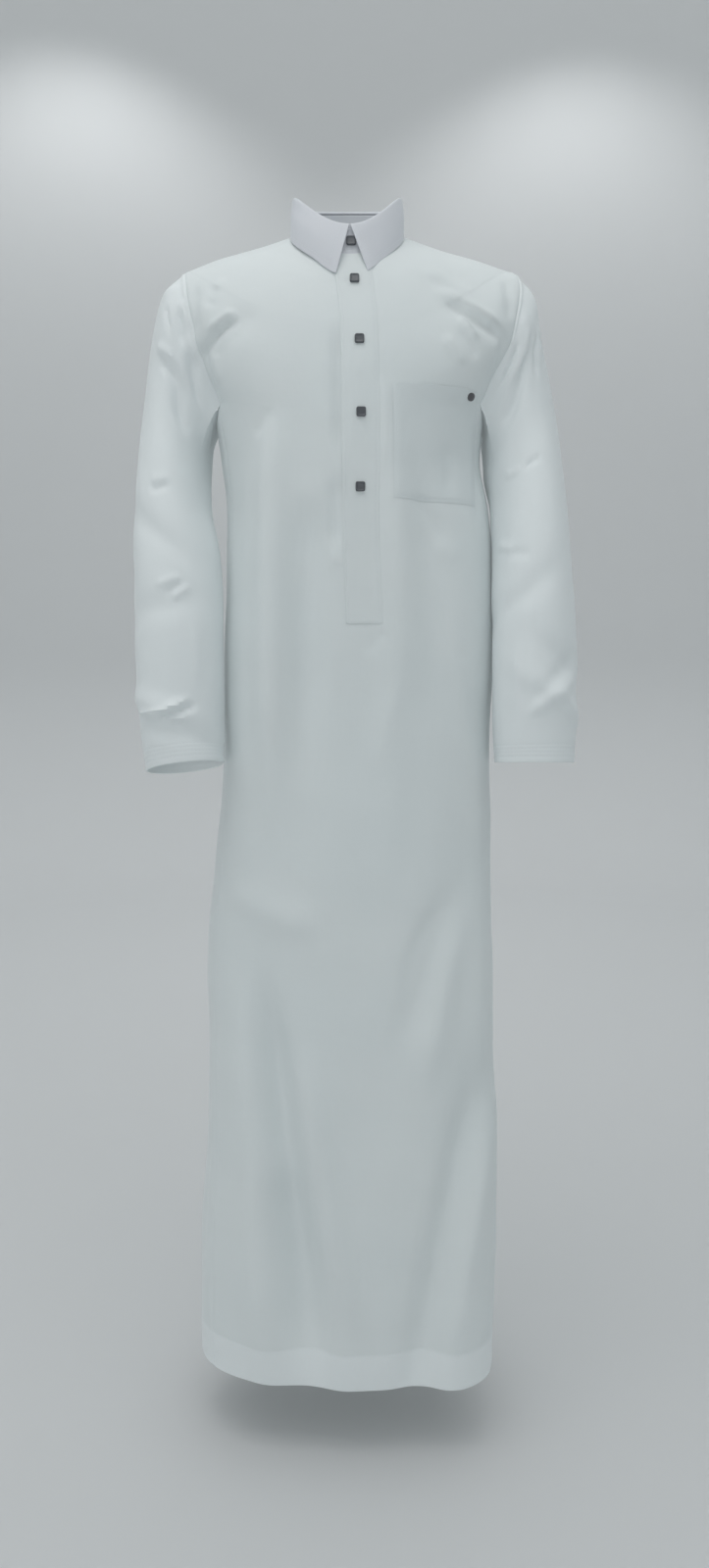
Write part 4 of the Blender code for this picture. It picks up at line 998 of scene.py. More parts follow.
def add_cloth(name, finish, node_name, walls, normal, rows, **settings):
    """Makes a wall the piece that stands for a node. It gives the outer face, its normals and its rows."""
    finish_piece(shell(name, *walls, **settings), finish, node_name)
    return Panel(walls[0], normal, rows)


def body_rows(to_top):
    """The rows of a panel: close steps at the hem and its stitches, even ones above."""
    turn = (HEM_TURN + np.array(HEM_STEPS)) / SKIRT
    hem_edge = np.array(EDGE_STEPS) / SKIRT
    waist = (DIP_ENDS_Z - HEM_Z) / SKIRT
    runs = [(hem_edge[-1], turn[0], HEM_ROWS), (turn[-1], waist, SKIRT_ROWS), (waist, 1.0, WAIST_ROWS)]
    runs += [(1.0, 2.0, CHEST_ROWS), (2.0, 3.0, SHOULDER_ROWS)] if to_top else []
    parts = [np.linspace(*run)[1:] for run in runs]
    return np.concatenate([hem_edge, parts[0], turn[1:], *parts[1:]])


def seam_shares(count, start):
    """start to 1, with close steps near the seam."""
    even = np.linspace(start[-1], NEAR_SEAM[0], count + 1)[1:-1]
    return np.concatenate([start, even, NEAR_SEAM])


def add_panel(name, node_name, outward, surface, share, rows):
    """A panel of the body between its seams, with the turned-up hem: a band below its row of stitches that
    stands out a little and is thicker."""
    share, row = np.meshgrid(share, rows)
    points = surface(share, row)
    points = part_seams(points, grid_normals(points, outward))
    normal = grid_normals(points, outward)
    height = row * SKIRT
    band = HEM_BAND * ease((HEM_TURN - height) / HEM_BAND_FADE)
    dent = HEM_DENT * bell((height - HEM_TURN + HEM_STITCH) / HEM_DENT_WIDTH)
    outer = points + normal * (band - dent)[..., None]
    thickness = WALL + TURN_EXTRA * ease((HEM_TURN - height) / HEM_TURN_FADE)
    walls = soften(outer, outer - normal * thickness[..., None], ["low"])
    return add_cloth(name, "cotton_body", node_name, walls, normal, rows, u_from=outer.shape[1] // 2)


def add_front():
    """Even columns behind the placket, and more of them from it out to each seam."""
    outside = PLACKET_COLUMN + (1 - PLACKET_COLUMN) * seam_shares(FRONT_COLUMNS, NEAR_PLACKET)
    behind = np.linspace(-PLACKET_COLUMN, PLACKET_COLUMN, BEHIND_PLACKET)[1:-1]
    across = np.concatenate([-outside[::-1], behind, outside])

    def surface(across, row):
        return cloth(front_angle(across, row), row, -1)

    return add_panel("front_cloth", "front", 1, surface, across, body_rows(True))


def add_back():
    """The columns are shares of the angle of the seam, from the middle out to each side."""
    share = seam_shares(BACK_COLUMNS, [0.0])
    share = np.concatenate([-share[:0:-1], share])

    def surface(share, row):
        return cloth(share * seam_angle(row, 1), row, 1)

    return add_panel("back_cloth", "back", -1, surface, share, body_rows(True))


def add_side_panel(side):
    """The columns are shares of the turn from the front's seam round the side to the back's."""
    half = seam_shares(SIDE_COLUMNS, [0.0])
    share = np.concatenate([(1 - half[::-1]) / 2, (1 + half[1:]) / 2])

    def surface(share, row):
        seam = seam_angle(row, -1)
        return side_surface(seam + (math.pi - 2 * seam) * share, row, side)

    name = side_name(side)
    return add_panel(f"side_cloth_{name}", f"side_panel_{name}", side, surface, share, body_rows(False))


def armhole_loop(front, back, under, side):
    """The armhole seam from the shoulder tip down the front, under the arm and up the back, with the angle
    round the sleeve of each of its points."""
    edge = -1 if side > 0 else 0
    spots = np.flatnonzero((front.rows >= 1.0 - 1e-9) & (front.rows <= 2.0 + 1e-9))[::-1]
    angle_front = ARMHOLE_END * (2.0 - front.rows[spots])
    span = steps_along(under.outer[-1:], 1)[0]
    angle_under = ARMHOLE_END + 2 * (math.pi - ARMHOLE_END) * (span / span[-1])[1:-1]
    behind = back.outer[spots[::-1], edge][:-1]
    points = np.concatenate([front.outer[spots, edge], under.outer[-1, 1:-1], behind])
    return points, np.concatenate([angle_front, angle_under, 2 * math.pi - angle_front[::-1][:-1]])


def under_share(angle):
    """1 under the arm, falling to nearly 0 in front, behind and over the shoulder."""
    return ((1 - np.cos(angle)) / 2) ** 4


def clear_of_panels(loop, angle, side):
    """The armhole seam moved a seam gap off the panels: along the cloth over the shoulder, in front and
    behind, and straight out under the arm, where the sleeve hangs beside the side panel."""
    tangent = unit(np.roll(loop, -1, axis=0) - np.roll(loop, 1, axis=0))
    lean = np.full_like(angle, SHOULDER_LEAN * side)
    panel_normal = unit(np.stack([lean, -np.sin(angle), np.cos(angle)], axis=-1))
    away = unit(np.cross(tangent, panel_normal))
    away = away * np.where(away[:, :1] * side < 0, -1.0, 1.0)
    under = under_share(angle)[:, None]
    away = unit(away * (1 - under) + np.array([side, 0.0, 0.0]) * under)
    return loop + away * 2 * SEAM_GAP


def sleeve_ring(cuts, angle, share, side):
    """An oval through the ring's outer and inner ends; its front edge is lifted as the arm bends forward."""
    outer_x, outer_z, inner_x, inner_z, middle_y, half_depth, lift = (
        look_up(cuts, "share", name, share) for name in Cut._fields[1:]
    )
    cosine, sine = np.cos(angle), np.sin(angle)
    x = (outer_x + inner_x) / 2 + (outer_x - inner_x) / 2 * cosine
    z = (outer_z + inner_z) / 2 + (outer_z - inner_z) / 2 * cosine
    return np.stack([side * x, middle_y - half_depth * sine, z + lift * sine], axis=-1)


def sleeve_rise(angle, share, side):
    """All that stands out on a sleeve: broad creases that climb round it, fine ones laid out on the flat
    sleeve, slow waves, the welt beside the armhole seam and the soft channels between the cuff's stitches."""
    bends, pulls = (LEFT_BENDS, LEFT_PULLS) if side > 0 else (RIGHT_BENDS, RIGHT_PULLS)
    rise = np.zeros_like(angle)
    for bend in bends:
        apart = (np.degrees(angle) - bend.angle + 180) % 360 - 180
        line = bend.share + bend.climb * apart / 90
        rise += bend.rise * bell(apart / bend.reach) * bell((share - line) / bend.breadth)
    from_seam, from_cuff = share * SLEEVE_LENGTH, (1 - share) * SLEEVE_LENGTH
    around = SLEEVE_RADIUS * (np.mod(angle + math.pi, 2 * math.pi) - math.pi)
    turn = math.radians(SLEEVE_RADIUS)
    flat = [p._replace(a0=p.a0 * turn, a1=p.a1 * turn, a2=p.a2 * turn) for p in pulls]
    rise += crease_rise(around, from_seam, flat)
    down = from_seam + SLEEVE_WAVE_SHIFT * np.cos(angle)
    wave = waviness(SLEEVE_RADIUS * 2 * np.sin(angle), down, WAVE_SEEDS["sleeve"] + side)
    rise += wave * ease(from_seam / WELT_WAVE_FADE)
    over = ease((np.cos(angle) + WELT_END) / WELT_FADE)
    rise += WELT_RISE * over * bell((from_seam - WELT_AT) / WELT_WIDTH)
    rise[0] = 0.0
    for row in CHANNEL_ROWS:
        rise -= CHANNEL_RISE * bell((from_cuff - row) / CHANNEL_WIDTH)
    return rise


def sleeve_shares():
    """From the armhole to the cuff: close steps at both ends and at the cuff's rows of stitches."""
    near = np.array(NEAR_ARMHOLE)
    rows = np.array(CHANNEL_ROWS[::-1])[:, None] + np.array(CHANNEL_STEPS)
    cuff = np.concatenate([rows.ravel(), CUFF_STEPS, EDGE_STEPS[::-1]])
    even = np.linspace(near[-1], SLEEVE_LENGTH - cuff[0], SLEEVE_ROWS)[1:-1]
    return np.concatenate([near, even, SLEEVE_LENGTH - cuff]) / SLEEVE_LENGTH


def add_sleeve(front, back, under, side):
    """The sleeve's rings, the first of them drawn to the armhole seam, with its creases."""
    cuts = LEFT_SLEEVE if side > 0 else RIGHT_SLEEVE
    loop, loop_angle = armhole_loop(front, back, under, side)
    loop = clear_of_panels(loop, loop_angle, side)
    angle, share = np.meshgrid(loop_angle, sleeve_shares())
    pull = loop - sleeve_ring(cuts, loop_angle, np.zeros_like(loop_angle), side)
    fade = 1 - ease(share / ARMHOLE_FADE)
    plain = sleeve_ring(cuts, angle, share, side) + pull * fade[..., None]
    outer = plain + grid_normals(plain, side, tube=True) * sleeve_rise(angle, share, side)[..., None]
    normal = grid_normals(outer, side, tube=True)
    normal[0, :, 0] *= under_share(loop_angle)
    normal = unit(normal)
    thickness = WALL + TURN_EXTRA * ease((share - 1 + CUFF_TURN / SLEEVE_LENGTH) / CUFF_TURN_FADE)
    walls = soften(outer, outer - normal * thickness[..., None], ["high"])
    names = f"sleeve_cloth_{side_name(side)}", "cotton_sleeve", f"sleeve_{side_name(side)}"
    return add_cloth(*names, walls, normal, share[:, 0], tube=True, v_from=-1)


def outward_at(angle):
    """The level direction out from the neck, by the angle from the middle of the front."""
    return np.stack([np.sin(angle), -np.cos(angle), np.zeros_like(angle)], axis=-1)


def stand_top(angle):
    """The upper edge of the stand, by the angle from the middle of the front, signed to the left."""
    sine, cosine = np.sin(angle), np.cos(angle)
    y = np.where(cosine > 0, STAND_FRONT_Y, -STAND_BACK_Y) * cosine
    end_z = np.where(cosine > 0, STAND_FRONT_Z, STAND_BACK_Z)
    z = STAND_SIDE_Z + (end_z - STAND_SIDE_Z) * cosine**2
    return np.stack([(STAND_HALF_WIDTH + np.sign(sine) * COLLAR_SHIFT) * sine, y, z], axis=-1)


def across_wall(middle, normal, edges):
    """The collar's wall about its middle, softened at the named edges."""
    return soften(middle + normal * COLLAR_WALL / 2, middle - normal * COLLAR_WALL / 2, edges)


def add_stand(front, back):
    """The stand rises from the middle of the panels' neckline edge."""
    edge, below, normal = (
        np.concatenate([ahead, behind[-2:0:-1]])
        for ahead, behind in (
            (front.outer[-1], back.outer[-1]),
            (front.outer[-2], back.outer[-2]),
            (front.normal[-1], back.normal[-1]),
        )
    )
    depth = np.where(edge[:, 1] < 0, -MIDDLES[-1].front_y, MIDDLES[-1].back_y)
    half_width = NECK_HALF_WIDTH + np.sign(edge[:, 0]) * COLLAR_SHIFT
    angle = np.arctan2(edge[:, 0] / half_width, -edge[:, 1] / depth)
    inward = unit(edge - below)
    top = stand_top(angle)
    rise = unit(top - edge)
    outward = outward_at(angle)
    outward = unit(outward - rise * (outward * rise).sum(-1, keepdims=True))
    reach = SEAM_GAP + COLLAR_WALL / 2 * np.abs((outward * inward).sum(-1, keepdims=True))
    foot = edge - normal * WALL / 2 + inward * reach
    middle = foot + (top - foot) * spread(STAND_ROWS, STAND_RISE, low=False)[:, None, None]
    walls = across_wall(middle, outward, ["high"])
    normal = np.stack([outward] * len(middle))
    return add_cloth("stand_cloth", "cotton_collar", "collar_stand", walls, normal, angle, tube=True)


def leaf_foot(angle):
    """The leaf's lower edge, which rests just clear of the panels."""
    row = look_up(LEAF_EDGE, "angle", "row", np.degrees(np.abs(angle)))
    front = cloth_and_normal(np.clip(angle, -math.pi / 2, math.pi / 2), row, -1)
    behind_angle = np.sign(angle) * (math.pi - np.maximum(np.abs(angle), math.pi / 2))
    behind = cloth_and_normal(behind_angle, row, 1)
    in_front = (np.abs(angle) <= math.pi / 2)[..., None]
    point, normal = (np.where(in_front, a, b) for a, b in zip(front, behind))
    from_band = PLACKET_HALF_WIDTH - np.abs(point[..., :1] - SWINGS[-2].x)
    over = ease((from_band + LEAF_STEP) / LEAF_STEP)
    return point + normal * (LEAF_REST + LEAF_OVER_PLACKET * over + COLLAR_WALL / 2)


def resample(lines, at):
    """A smooth curve through matching lines of points, by their number: cubics with chord slopes."""
    slope = np.gradient(lines, axis=0)
    low = np.clip(at.astype(int), 0, len(lines) - 2)
    return cubic(lines[low], lines[low + 1], slope[low], slope[low + 1], (at - low)[:, None, None])


def add_leaf():
    """The leaf rolls over the stand's upper edge and falls to its lower edge; its two points end in front."""
    end, tip = math.radians(LEAF_END_ANGLE), math.radians(LEAF_TIP_ANGLE)
    around = end + (2 * math.pi - 2 * end) * spread(LEAF_COLUMNS, LEAF_ROUND)
    foot_angle = tip + (around - end) * (math.pi - tip) / (math.pi - end)
    foot_angle = np.where(foot_angle > math.pi, foot_angle - 2 * math.pi, foot_angle)
    foot_angle = foot_angle + math.radians(LEAF_TIP_SHIFT) * np.clip(np.cos(foot_angle), 0.0, 1.0)
    out = outward_at(around)
    lines = [stand_top(around) + out * roll.out + [0.0, 0.0, roll.up] for roll in LEAF_ROLL]
    start, foot = lines[-1], leaf_foot(foot_angle)
    for fall in np.linspace(0.0, 1.0, LEAF_FALL_LINES + 1)[1:]:
        lines.append(start + (foot - start) * fall + out * LEAF_BULGE * math.sin(math.pi * fall))
    rolled = len(LEAF_ROLL) - 1
    at = rolled + (len(lines) - 1 - rolled) * spread(LEAF_FALL_ROWS, LEAF_FALL, low=False)
    at = np.concatenate([np.linspace(0, rolled, LEAF_ROLL_ROWS)[:-1], at])
    middle = resample(np.stack(lines), at)
    normal = grid_normals(middle, -1)
    wave = waviness(around[None] * LEAF_RADIUS + 0 * at[:, None], middle[..., 2], WAVE_SEEDS["leaf"])
    middle = middle + normal * (wave * LEAF_WAVES * ease((at[:, None] - rolled) / 2))[..., None]
    walls = across_wall(middle, normal, ["high", "first", "last"])
    return add_cloth("leaf_cloth", "cotton_collar", "collar_leaf", walls, normal, at, v_from=-1)


def pressed_wall(thickness, thin, from_edge, width):
    """A wall's thickness: thin of it at a sewn edge, all of it from width in."""
    return (thickness * (thin + (1 - thin) * ease(from_edge / width)))[..., None]


def add_placket():
    """A band laid on the front. Its wearer's right edge stands a little proud above the waist, and its left
    edge is sewn down and pressed thin."""
    first = row_of_front(PLACKET_FOOT_Z)
    across = -1 + 2 * spread(PLACKET_GRID[0], 2 * PLACKET_HALF_WIDTH)
    rows = first + (3.0 - first) * spread(PLACKET_GRID[1], PLACKET_LENGTH, high=False)
    across, row = np.meshgrid(across, rows)
    points = cloth(front_angle(across * PLACKET_COLUMN, row), row, -1)
    normal = grid_normals(points, 1)
    proud = PLACKET_PROUD * bell((across + 1) / PROUD_WIDTH)
    proud *= ease((points[..., 2] - PROUD_FOOT_Z) / PROUD_FOOT_FADE)
    proud *= ease((PROUD_TOP_Z - points[..., 2]) / PROUD_TOP_FADE)
    inner = points + normal * (PLACKET_LAID_ON + proud)[..., None]
    from_edge = (1 - across) * PLACKET_HALF_WIDTH
    wall = pressed_wall(PLACKET_WALL, PLACKET_THIN_EDGE, from_edge, PLACKET_EASE)
    walls = soften(inner + normal * wall, inner, ["low", "first", "last"])
    return add_cloth("placket_cloth", "cotton_placket", "placket", walls, normal, rows)


def add_pocket():
    """The pocket laid on the front, its open top edge a little away from the cloth behind it and its sewn
    edges pressed thin."""
    ends = np.arcsin(np.array([POCKET_INNER_X, POCKET_OUTER_X]) / POCKET_SPREAD)
    x = POCKET_SPREAD * np.sin(ends[0] + (ends[1] - ends[0]) * spread(POCKET_GRID[0], POCKET_WIDTH))
    z = POCKET_FOOT_Z + (POCKET_TOP_Z - POCKET_FOOT_Z) * spread(POCKET_GRID[1], POCKET_HEIGHT)
    x, z = np.meshgrid(x, z)
    points = cloth(*front_at(x, z), -1)
    normal = grid_normals(points, 1)
    run = steps_along(points, 1)
    gape = POCKET_GAPE * np.sin(math.pi * run / run[:, -1:]) * bell((POCKET_TOP_Z - z) / POCKET_GAPE_DEPTH)
    inner = points + normal * (POCKET_LAID_ON + gape)[..., None]
    from_edge = np.minimum(np.minimum(x - x.min(), x.max() - x), z - z.min())
    wall = pressed_wall(POCKET_WALL, POCKET_THIN_EDGE, from_edge, POCKET_EASE)
    walls = soften(inner + normal * wall, inner, ["low", "high", "first", "last"])
    return add_cloth("pocket_cloth", "cotton_pocket_painted_shade", "chest_pocket", walls, normal, z[:, 0])


def stitch_line(points, normal):
    """Evenly spaced stitches along a path on the cloth: their middles, directions and outward normals."""
    run = steps_along(points, 0)
    count = max(int(run[-1] / (STITCH_LENGTH + STITCH_GAP)), 1)
    middle = (np.arange(count) + 0.5) * run[-1] / count

    def at(values, distance):
        return np.stack([np.interp(distance, run, values[:, k]) for k in range(3)], axis=-1)

    ahead = unit(at(points, middle + STITCH_LENGTH / 2) - at(points, middle - STITCH_LENGTH / 2))
    out = at(normal, middle)
    out = unit(out - ahead * (out * ahead).sum(-1, keepdims=True))
    return at(points, middle), ahead, out


def add_stitching(name, lines):
    """Small capsules of thread, one a stitch: two pointed ends and two rings of six, raised at the middle."""
    place, ahead, out = (np.concatenate(part) for part in zip(*[stitch_line(*line) for line in lines]))
    turn = np.arange(6) * math.pi / 3
    half = STITCH_LENGTH / 2
    ring = np.stack([np.cos(turn), np.sin(turn)], axis=-1) * THREAD_RADIUS
    shape = [[-half, 0.0, -STITCH_SINK]]
    shape += [[end * half * THREAD_TAPER, a, b + STITCH_SINK] for end in (-1, 1) for a, b in ring]
    shape = np.array(shape + [[half, 0.0, -STITCH_SINK]])
    axes = np.stack([ahead, np.cross(ahead, out), out], axis=1)
    points = place[:, None] + np.einsum("pk,skc->spc", shape, axes)
    faces = []
    for k in range(6):
        n = (k + 1) % 6
        faces += [[0, 1 + n, 1 + k], [1 + k, 1 + n, 7 + n], [1 + k, 7 + n, 7 + k], [7 + k, 7 + n, 13]]
    faces = np.array(faces)[None] + len(shape) * np.arange(len(place))[:, None, None]
    obj = mesh_object(name, points.reshape(-1, 3), faces.reshape(-1, 3)[:, ::-1])
    finish_piece(obj, "thread")


def line_of(panel, where):
    """The part of a panel's outer face and normals that where picks."""
    return panel.outer[where], panel.normal[where]


def nearest(values, value):
    return int(np.abs(values - value).argmin())


def beside_seam(panel, columns, low, high):
    """Lines up a panel at these columns, between two rows."""
    inside = np.flatnonzero((panel.rows >= low) & (panel.rows <= high))
    return [line_of(panel, (inside, k)) for k in columns]


def body_stitches(front, back, unders, placket, pocket):
    """Round the hem, beside the seams, the armholes and the shoulder seams, and round what is sewn on."""
    near, inner = (3, -4), (5, -6)
    hem = (HEM_TURN - HEM_STITCH) / SKIRT
    lines = [line_of(panel, nearest(panel.rows, hem)) for panel in (front, back, *unders)]
    for panel in (front, back):
        lines += beside_seam(panel, near, 0.0, 1.0) + beside_seam(panel, inner, 1.0, 2.0)
    lines += beside_seam(back, near, 2.0, NECK_STITCH_ROW)
    lines += [line_of(placket, np.s_[:, k]) for k in inner]
    box = steps_along(placket.outer, 0)[:, placket.outer.shape[1] // 2]
    for height in (PLACKET_FOOT_STITCH, PLACKET_BOX_Z - PLACKET_FOOT_Z):
        lines.append(line_of(placket, np.s_[nearest(box, height), 5:-5]))
    lines += [line_of(pocket, np.s_[5:, k]) for k in inner]
    return lines + [line_of(pocket, np.s_[5, 5:-5])]


def closed(line):
    return tuple(np.concatenate([part, part[:1]]) for part in line)


def sleeve_stitches(sleeve):
    rows = [nearest(sleeve.rows, 1 - row / SLEEVE_LENGTH) for row in CHANNEL_ROWS]
    return [closed(line_of(sleeve, row)) for row in rows]


def collar_stitches(stand, leaf):
    """Inside the leaf's edge, up its two ends to the roll, and round the stand's foot."""
    from_foot = steps_along(leaf.outer[::-1], 0)[::-1]
    k = nearest(from_foot[:, leaf.outer.shape[1] // 2], LEAF_STITCH)
    lines = [line_of(leaf, np.s_[k, 7:-7])] + [line_of(leaf, np.s_[13 : k + 1, end]) for end in (7, -8)]
    return lines + [closed(line_of(stand, 1))]


def turned_shape(profile, squareness, stretch, sides=40):
    """A shape turned about its own Z whose outline is a superellipse: profile lists radius and height from
    the foot's rim up over the top to the middle, and squareness 2 is round."""
    turn = np.arange(sides) * 2 * math.pi / sides
    cosine, sine = np.cos(turn), np.sin(turn)
    size = (np.abs(cosine) ** squareness + np.abs(sine) ** squareness) ** (-1.0 / squareness)
    outline = np.stack([stretch * size * cosine, size * sine, np.zeros_like(size)], axis=-1)
    points = np.concatenate([outline * radius + [0, 0, height] for radius, height in profile])
    ring = np.arange(sides)
    following = np.roll(ring, -1)
    faces = np.stack([ring, following, following + sides, ring + sides], axis=-1)
    return points, np.concatenate([faces + sides * k for k in range(len(profile) - 1)])


def stand_on(points, place, normal):
    """Moves a shape so that its foot is on the place, its Z along the normal and its X level."""
    z_axis = unit(normal)
    x_axis = unit(np.cross([0.0, 0.0, 1.0], z_axis))
    return place + points @ np.stack([x_axis, np.cross(z_axis, x_axis), z_axis])


def stand_front(height):
    """The outer face of the stand at its front, and its normal."""
    low = np.array([SWINGS[-1].x, MIDDLES[-1].front_y, MIDDLES[-1].front_z])
    high = np.array([SWINGS[-1].x, STAND_FRONT_Y, STAND_FRONT_Z])
    rise = high - low
    normal = unit(np.array([0.0, -rise[2], rise[1]]))
    return low + rise * (height - low[2]) / rise[2] + normal * COLLAR_WALL / 2, normal


def spot_on(x, z):
    """One point of the front's cloth, and its normal."""
    point, normal = cloth_and_normal(*front_at(np.array([x]), np.array([z])), -1)
    return point[0], normal[0]


def add_fastener(name, finish, node_name, shape, place, normal):
    points, faces = shape
    obj = mesh_object(name, stand_on(points, place, normal), faces, sharp=50)
    finish_piece(obj, finish, node_name)


def add_buttons():
    """The first is on the stand, the others are on the placket's middle line."""
    profile = [(radius * BUTTON_SIDE / 2, level * BUTTON_THICKNESS) for radius, level in BUTTON_RINGS]
    shape = turned_shape(profile, BUTTON_SQUARENESS, 1.0)
    for number, height in enumerate(BUTTON_HEIGHTS, start=1):
        if number == 1:
            place, normal = stand_front(height)
        else:
            place, normal = spot_on(float(look_up(SWINGS, "row", "x", row_of_front(height))), height)
            place = place + normal * (PLACKET_LAID_ON + PLACKET_WALL - BUTTON_SINK)
        add_fastener(f"square_button_{number}", "button_grey", f"button_{number}", shape, place, normal)


def add_stud():
    """A small plain domed stud on the pocket's upper outer corner."""
    place, normal = spot_on(STUD_X, STUD_Z)
    place = place + normal * (POCKET_LAID_ON + POCKET_WALL)
    shape = turned_shape(STUD_RINGS, STUD_SQUARENESS, STUD_STRETCH)
    add_fastener("plain_stud", "dark_metal", "pocket_stud", shape, place, normal)


def fill(tree, made, inputs):
    """Sets a node's inputs, or links them to another node's output."""
    for key, value in inputs.items():
        if isinstance(value, bpy.types.NodeSocket):
            tree.links.new(value, made.inputs[key])
        else:
            made.inputs[key].default_value = value


def node(tree, kind, inputs=None, out=0, **settings):
    """Makes a node with these settings and inputs, and gives one of its outputs."""
    made = tree.nodes.new("ShaderNode" + kind)
    for key, value in settings.items():
        setattr(made, key, value)
    fill(tree, made, inputs or {})
    return made.outputs[out]


def maths(tree, operation, *values):
    return node(tree, "Math", dict(enumerate(values)), operation=operation)


def noise(tree, vector, scale, detail=2.0, stretch=(1.0, 1.0, 1.0)):
    mapped = node(tree, "Mapping", {"Vector": vector, "Scale": stretch})
    return node(tree, "TexNoise", {"Vector": mapped, "Scale": scale, "Detail": detail}, "Fac")


def between(tree, share, first, second):
    """A colour between two others; each is three numbers or a node's output."""
    first, second = ((*k, 1.0) if isinstance(k, tuple) else k for k in (first, second))
    return node(tree, "MixRGB", {"Fac": share, "Color1": first, "Color2": second})


def ramp(tree, value, low, high, from_low=0.0, from_high=1.0):
    inputs = {"Value": value, "From Min": from_low, "From Max": from_high, "To Min": low, "To Max": high}
    return node(tree, "MapRange", inputs)


def relief(tree, height, strength, depth, under=None):
    inputs = {"Strength": strength, "Distance": depth, "Height": height}
    return node(tree, "Bump", inputs | ({} if under is None else {"Normal": under}))


def new_material(name):
    """A new material's nodes, and the place on the piece that its patterns read."""
    made = bpy.data.materials.new(name)
    made.use_nodes = True
    return made.node_tree, node(made.node_tree, "TexCoord", out="Object")


# The shader's sockets that hold one value all over
EVEN = {
    "specular": "Specular IOR Level", "sheen": "Sheen Weight", "sheen_rough": "Sheen Roughness",
    "sheen_tint": "Sheen Tint", "coat": "Coat Weight", "coat_rough": "Coat Roughness", "metal": "Metallic",
}


def shade(tree, colour, rough, bump, **more):
    """Fills the shader's sockets: the pattern's, and those of EVEN that are given."""
    inputs = {"Base Color": colour, "Roughness": rough, "Normal": bump}
    fill(tree, tree.nodes["Principled BSDF"], inputs | {EVEN[key]: value for key, value in more.items()})


def make_weave(name, weave):
    """A plain weave: threads of uneven thickness cross over and under at the pitch, and the cloth is
    faintly crumpled, with grooves where it is stitched. Its colour wanders a little between two whites."""
    tree, spot = new_material(name)
    flat = node(tree, "UVMap", uv_map="UVMap")
    axes = {"u": node(tree, "SeparateXYZ", {0: flat}, 0), "v": node(tree, "SeparateXYZ", {0: flat}, 1)}
    waves = (maths(tree, "MULTIPLY", along, math.pi / weave.pitch) for along in axes.values())
    warp, weft = (maths(tree, "SINE", wave) for wave in waves)
    slub = SLUB_PITCHES / weave.pitch
    slub_up = noise(tree, flat, 1.0, 1.0, (slub, SLUB_RUN, 1.0))
    slub_across = noise(tree, flat, 1.0, 1.0, (SLUB_RUN, slub, 1.0))
    slubs = maths(tree, "ADD", slub_up, slub_across)
    threads = maths(tree, "MULTIPLY_ADD", maths(tree, "MULTIPLY", warp, weft), 0.35, slubs)
    crumple = noise(tree, spot, 26.0, 4.0)
    bump = relief(tree, crumple, 0.5, 0.0016, relief(tree, threads, 0.35, 0.00012))
    total = None
    for groove in weave.grooves:
        apart = maths(tree, "DIVIDE", maths(tree, "SUBTRACT", axes[groove.axis], groove.at), groove.width)
        square = maths(tree, "POWER", maths(tree, "ABSOLUTE", apart), 2.0)
        dent = maths(tree, "EXPONENT", maths(tree, "MULTIPLY", square, -1.0))
        dent = maths(tree, "MULTIPLY", dent, -groove.depth)
        total = dent if total is None else maths(tree, "ADD", total, dent)
    if total is not None:
        bump = relief(tree, total, 1.0, 1.0, bump)
    fleck = maths(tree, "MULTIPLY_ADD", slubs, 0.35, noise(tree, spot, 5.0, 3.0))
    colour = between(tree, ramp(tree, fleck, 0.0, 1.0, 0.6, 1.1), weave.colour, weave.tint)
    if weave.turned:
        double = ramp(tree, axes["v"], 1.0, 0.0, weave.turned - TURN_BELOW, weave.turned + TURN_ABOVE)
        colour = between(tree, double, colour, TURNED_WHITE)
    rough = ramp(tree, crumple, weave.roughness - 0.05, weave.roughness + 0.07)
    tint = (0.97, 0.99, 1.0, 1.0)
    shade(tree, colour, rough, bump, specular=0.4, sheen=weave.sheen, sheen_rough=0.35, sheen_tint=tint)


def make_thread():
    """Glossy twisted thread: fine slanting ridges across each stitch."""
    tree, spot = new_material("thread")
    wave = {"Vector": spot, "Scale": 900.0, "Distortion": 1.0}
    twist = node(tree, "TexWave", wave, "Fac", bands_direction="DIAGONAL")
    colour = between(tree, noise(tree, spot, 60.0), (0.74, 0.80, 0.82), (0.80, 0.84, 0.86))
    shade(tree, colour, 0.42, relief(tree, twist, 0.4, 0.00008), sheen=0.15)


def make_button():
    """Dark grey moulded plastic with a cloudy depth and a faint orange-peel surface."""
    tree, spot = new_material("button_grey")
    cloud = noise(tree, spot, 240.0, 4.0)
    colour = between(tree, cloud, (0.075, 0.085, 0.090), (0.135, 0.150, 0.155))
    bump = relief(tree, noise(tree, spot, 1500.0), 0.3, 0.00006)
    shade(tree, colour, ramp(tree, cloud, 0.26, 0.40), bump, coat=0.3, coat_rough=0.15)


def make_metal():
    """Dark blackened metal, brushed finely, a little brighter where it is rubbed."""
    tree, spot = new_material("dark_metal")
    brush = noise(tree, spot, 1.0, 3.0, (300.0, 300.0, 2600.0))
    colour = between(tree, brush, (0.055, 0.055, 0.060), (0.130, 0.130, 0.138))
    shade(tree, colour, ramp(tree, brush, 0.24, 0.40), relief(tree, brush, 0.25, 0.00004), metal=0.85)


def make_wall_paint():
    """Pale matt paint with the faint texture of a roller."""
    tree, spot = new_material("pale_paint")
    colour = between(tree, noise(tree, spot, 0.8), (0.690, 0.703, 0.709), (0.705, 0.718, 0.725))
    shade(tree, colour, 0.85, relief(tree, noise(tree, spot, 220.0), 0.1, 0.0005))


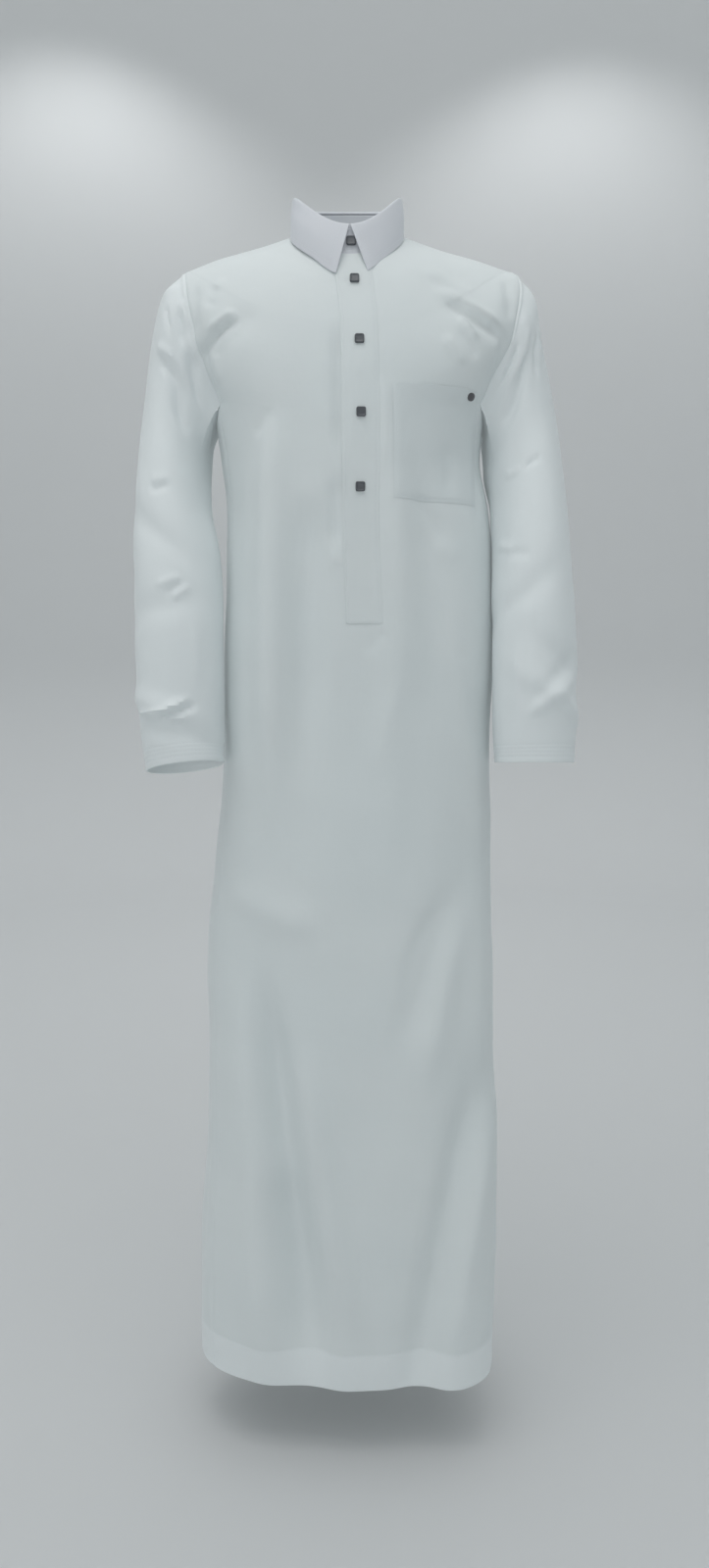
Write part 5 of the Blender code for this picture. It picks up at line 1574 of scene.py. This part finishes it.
def add_room():
    """A round floor that curves up into a wall."""
    inside = ROOM_RADIUS - ROOM_CORNER
    profile = [(radius, FLOOR_Z) for radius in (0.0001, 0.8, 1.6, 2.4)]
    for bend in np.linspace(0.0, math.pi / 2, 17):
        profile.append((inside + ROOM_CORNER * math.sin(bend), FLOOR_Z + ROOM_CORNER * (1 - math.cos(bend))))
    profile += [(ROOM_RADIUS, z) for z in (1.2, 2.4, ROOM_TOP_Z)]
    obj = mesh_object("pale_room", *turned_shape(profile, 2.0, 1.0, sides=ROOM_SIDES), sharp=60)
    obj.data.materials.append(bpy.data.materials["pale_paint"])
    bpy.context.scene.collection.objects.link(obj)


def hang(name, light, settings, place, aim):
    """Hangs a lamp at its place, pointing at its aim."""
    for key, value in settings.items():
        setattr(light, key, value)
    obj = bpy.data.objects.new(name, light)
    obj.location = place
    obj.rotation_euler = (Vector(aim) - Vector(place)).to_track_quat("-Z", "Y").to_euler()
    bpy.context.scene.collection.objects.link(obj)


def add_lights():
    for lamp in LAMPS:
        panel = {"shape": "RECTANGLE", "size": lamp.width, "size_y": lamp.height, "energy": lamp.watts}
        panel |= {"color": lamp.colour, "use_shadow": lamp.shadow}
        hang(lamp.name, bpy.data.lights.new(lamp.name, "AREA"), panel, lamp.place, lamp.aim)
    for wash in WASHES:
        spot = {"spot_size": math.radians(WASH_ANGLE), "spot_blend": 0.75, "shadow_soft_size": 0.06}
        spot |= {"energy": wash.watts}
        hang(wash.name, bpy.data.lights.new(wash.name, "SPOT"), spot, wash.place, wash.aim)
    world = bpy.data.worlds.new("soft_daylight")
    world.use_nodes = True
    sky = world.node_tree.nodes["Background"]
    fill(world.node_tree, sky, {"Color": (0.950, 0.990, 1.0, 1.0), "Strength": 0.80})
    bpy.context.scene.world = world


def add_camera():
    lens = bpy.data.cameras.new("camera")
    lens.sensor_width = 36.0
    lens.lens = 24.0
    obj = bpy.data.objects.new("camera", lens)
    obj.location = (0.0055, -1.37, -0.545)
    obj.rotation_euler = Euler((math.radians(84.0), 0.0, 0.0))
    bpy.context.scene.collection.objects.link(obj)
    bpy.context.scene.camera = obj


def main():
    for name, weave in WEAVES.items():
        make_weave(name, weave)
    for make in (make_thread, make_button, make_metal, make_wall_paint):
        make()
    front, back = add_front(), add_back()
    unders, sleeves = {}, {}
    for side in (1, -1):
        unders[side] = add_side_panel(side)
        sleeves[side] = add_sleeve(front, back, unders[side], side)
    stand, leaf, placket, pocket = add_stand(front, back), add_leaf(), add_placket(), add_pocket()
    add_buttons()
    add_stud()
    add_stitching("body_stitching", body_stitches(front, back, unders.values(), placket, pocket))
    add_stitching("sleeve_stitching", sleeve_stitches(sleeves[1]) + sleeve_stitches(sleeves[-1]))
    add_stitching("collar_stitching", collar_stitches(stand, leaf))
    add_room()
    add_lights()
    add_camera()


main()
bpy.context.scene.view_settings.view_transform = "Standard"
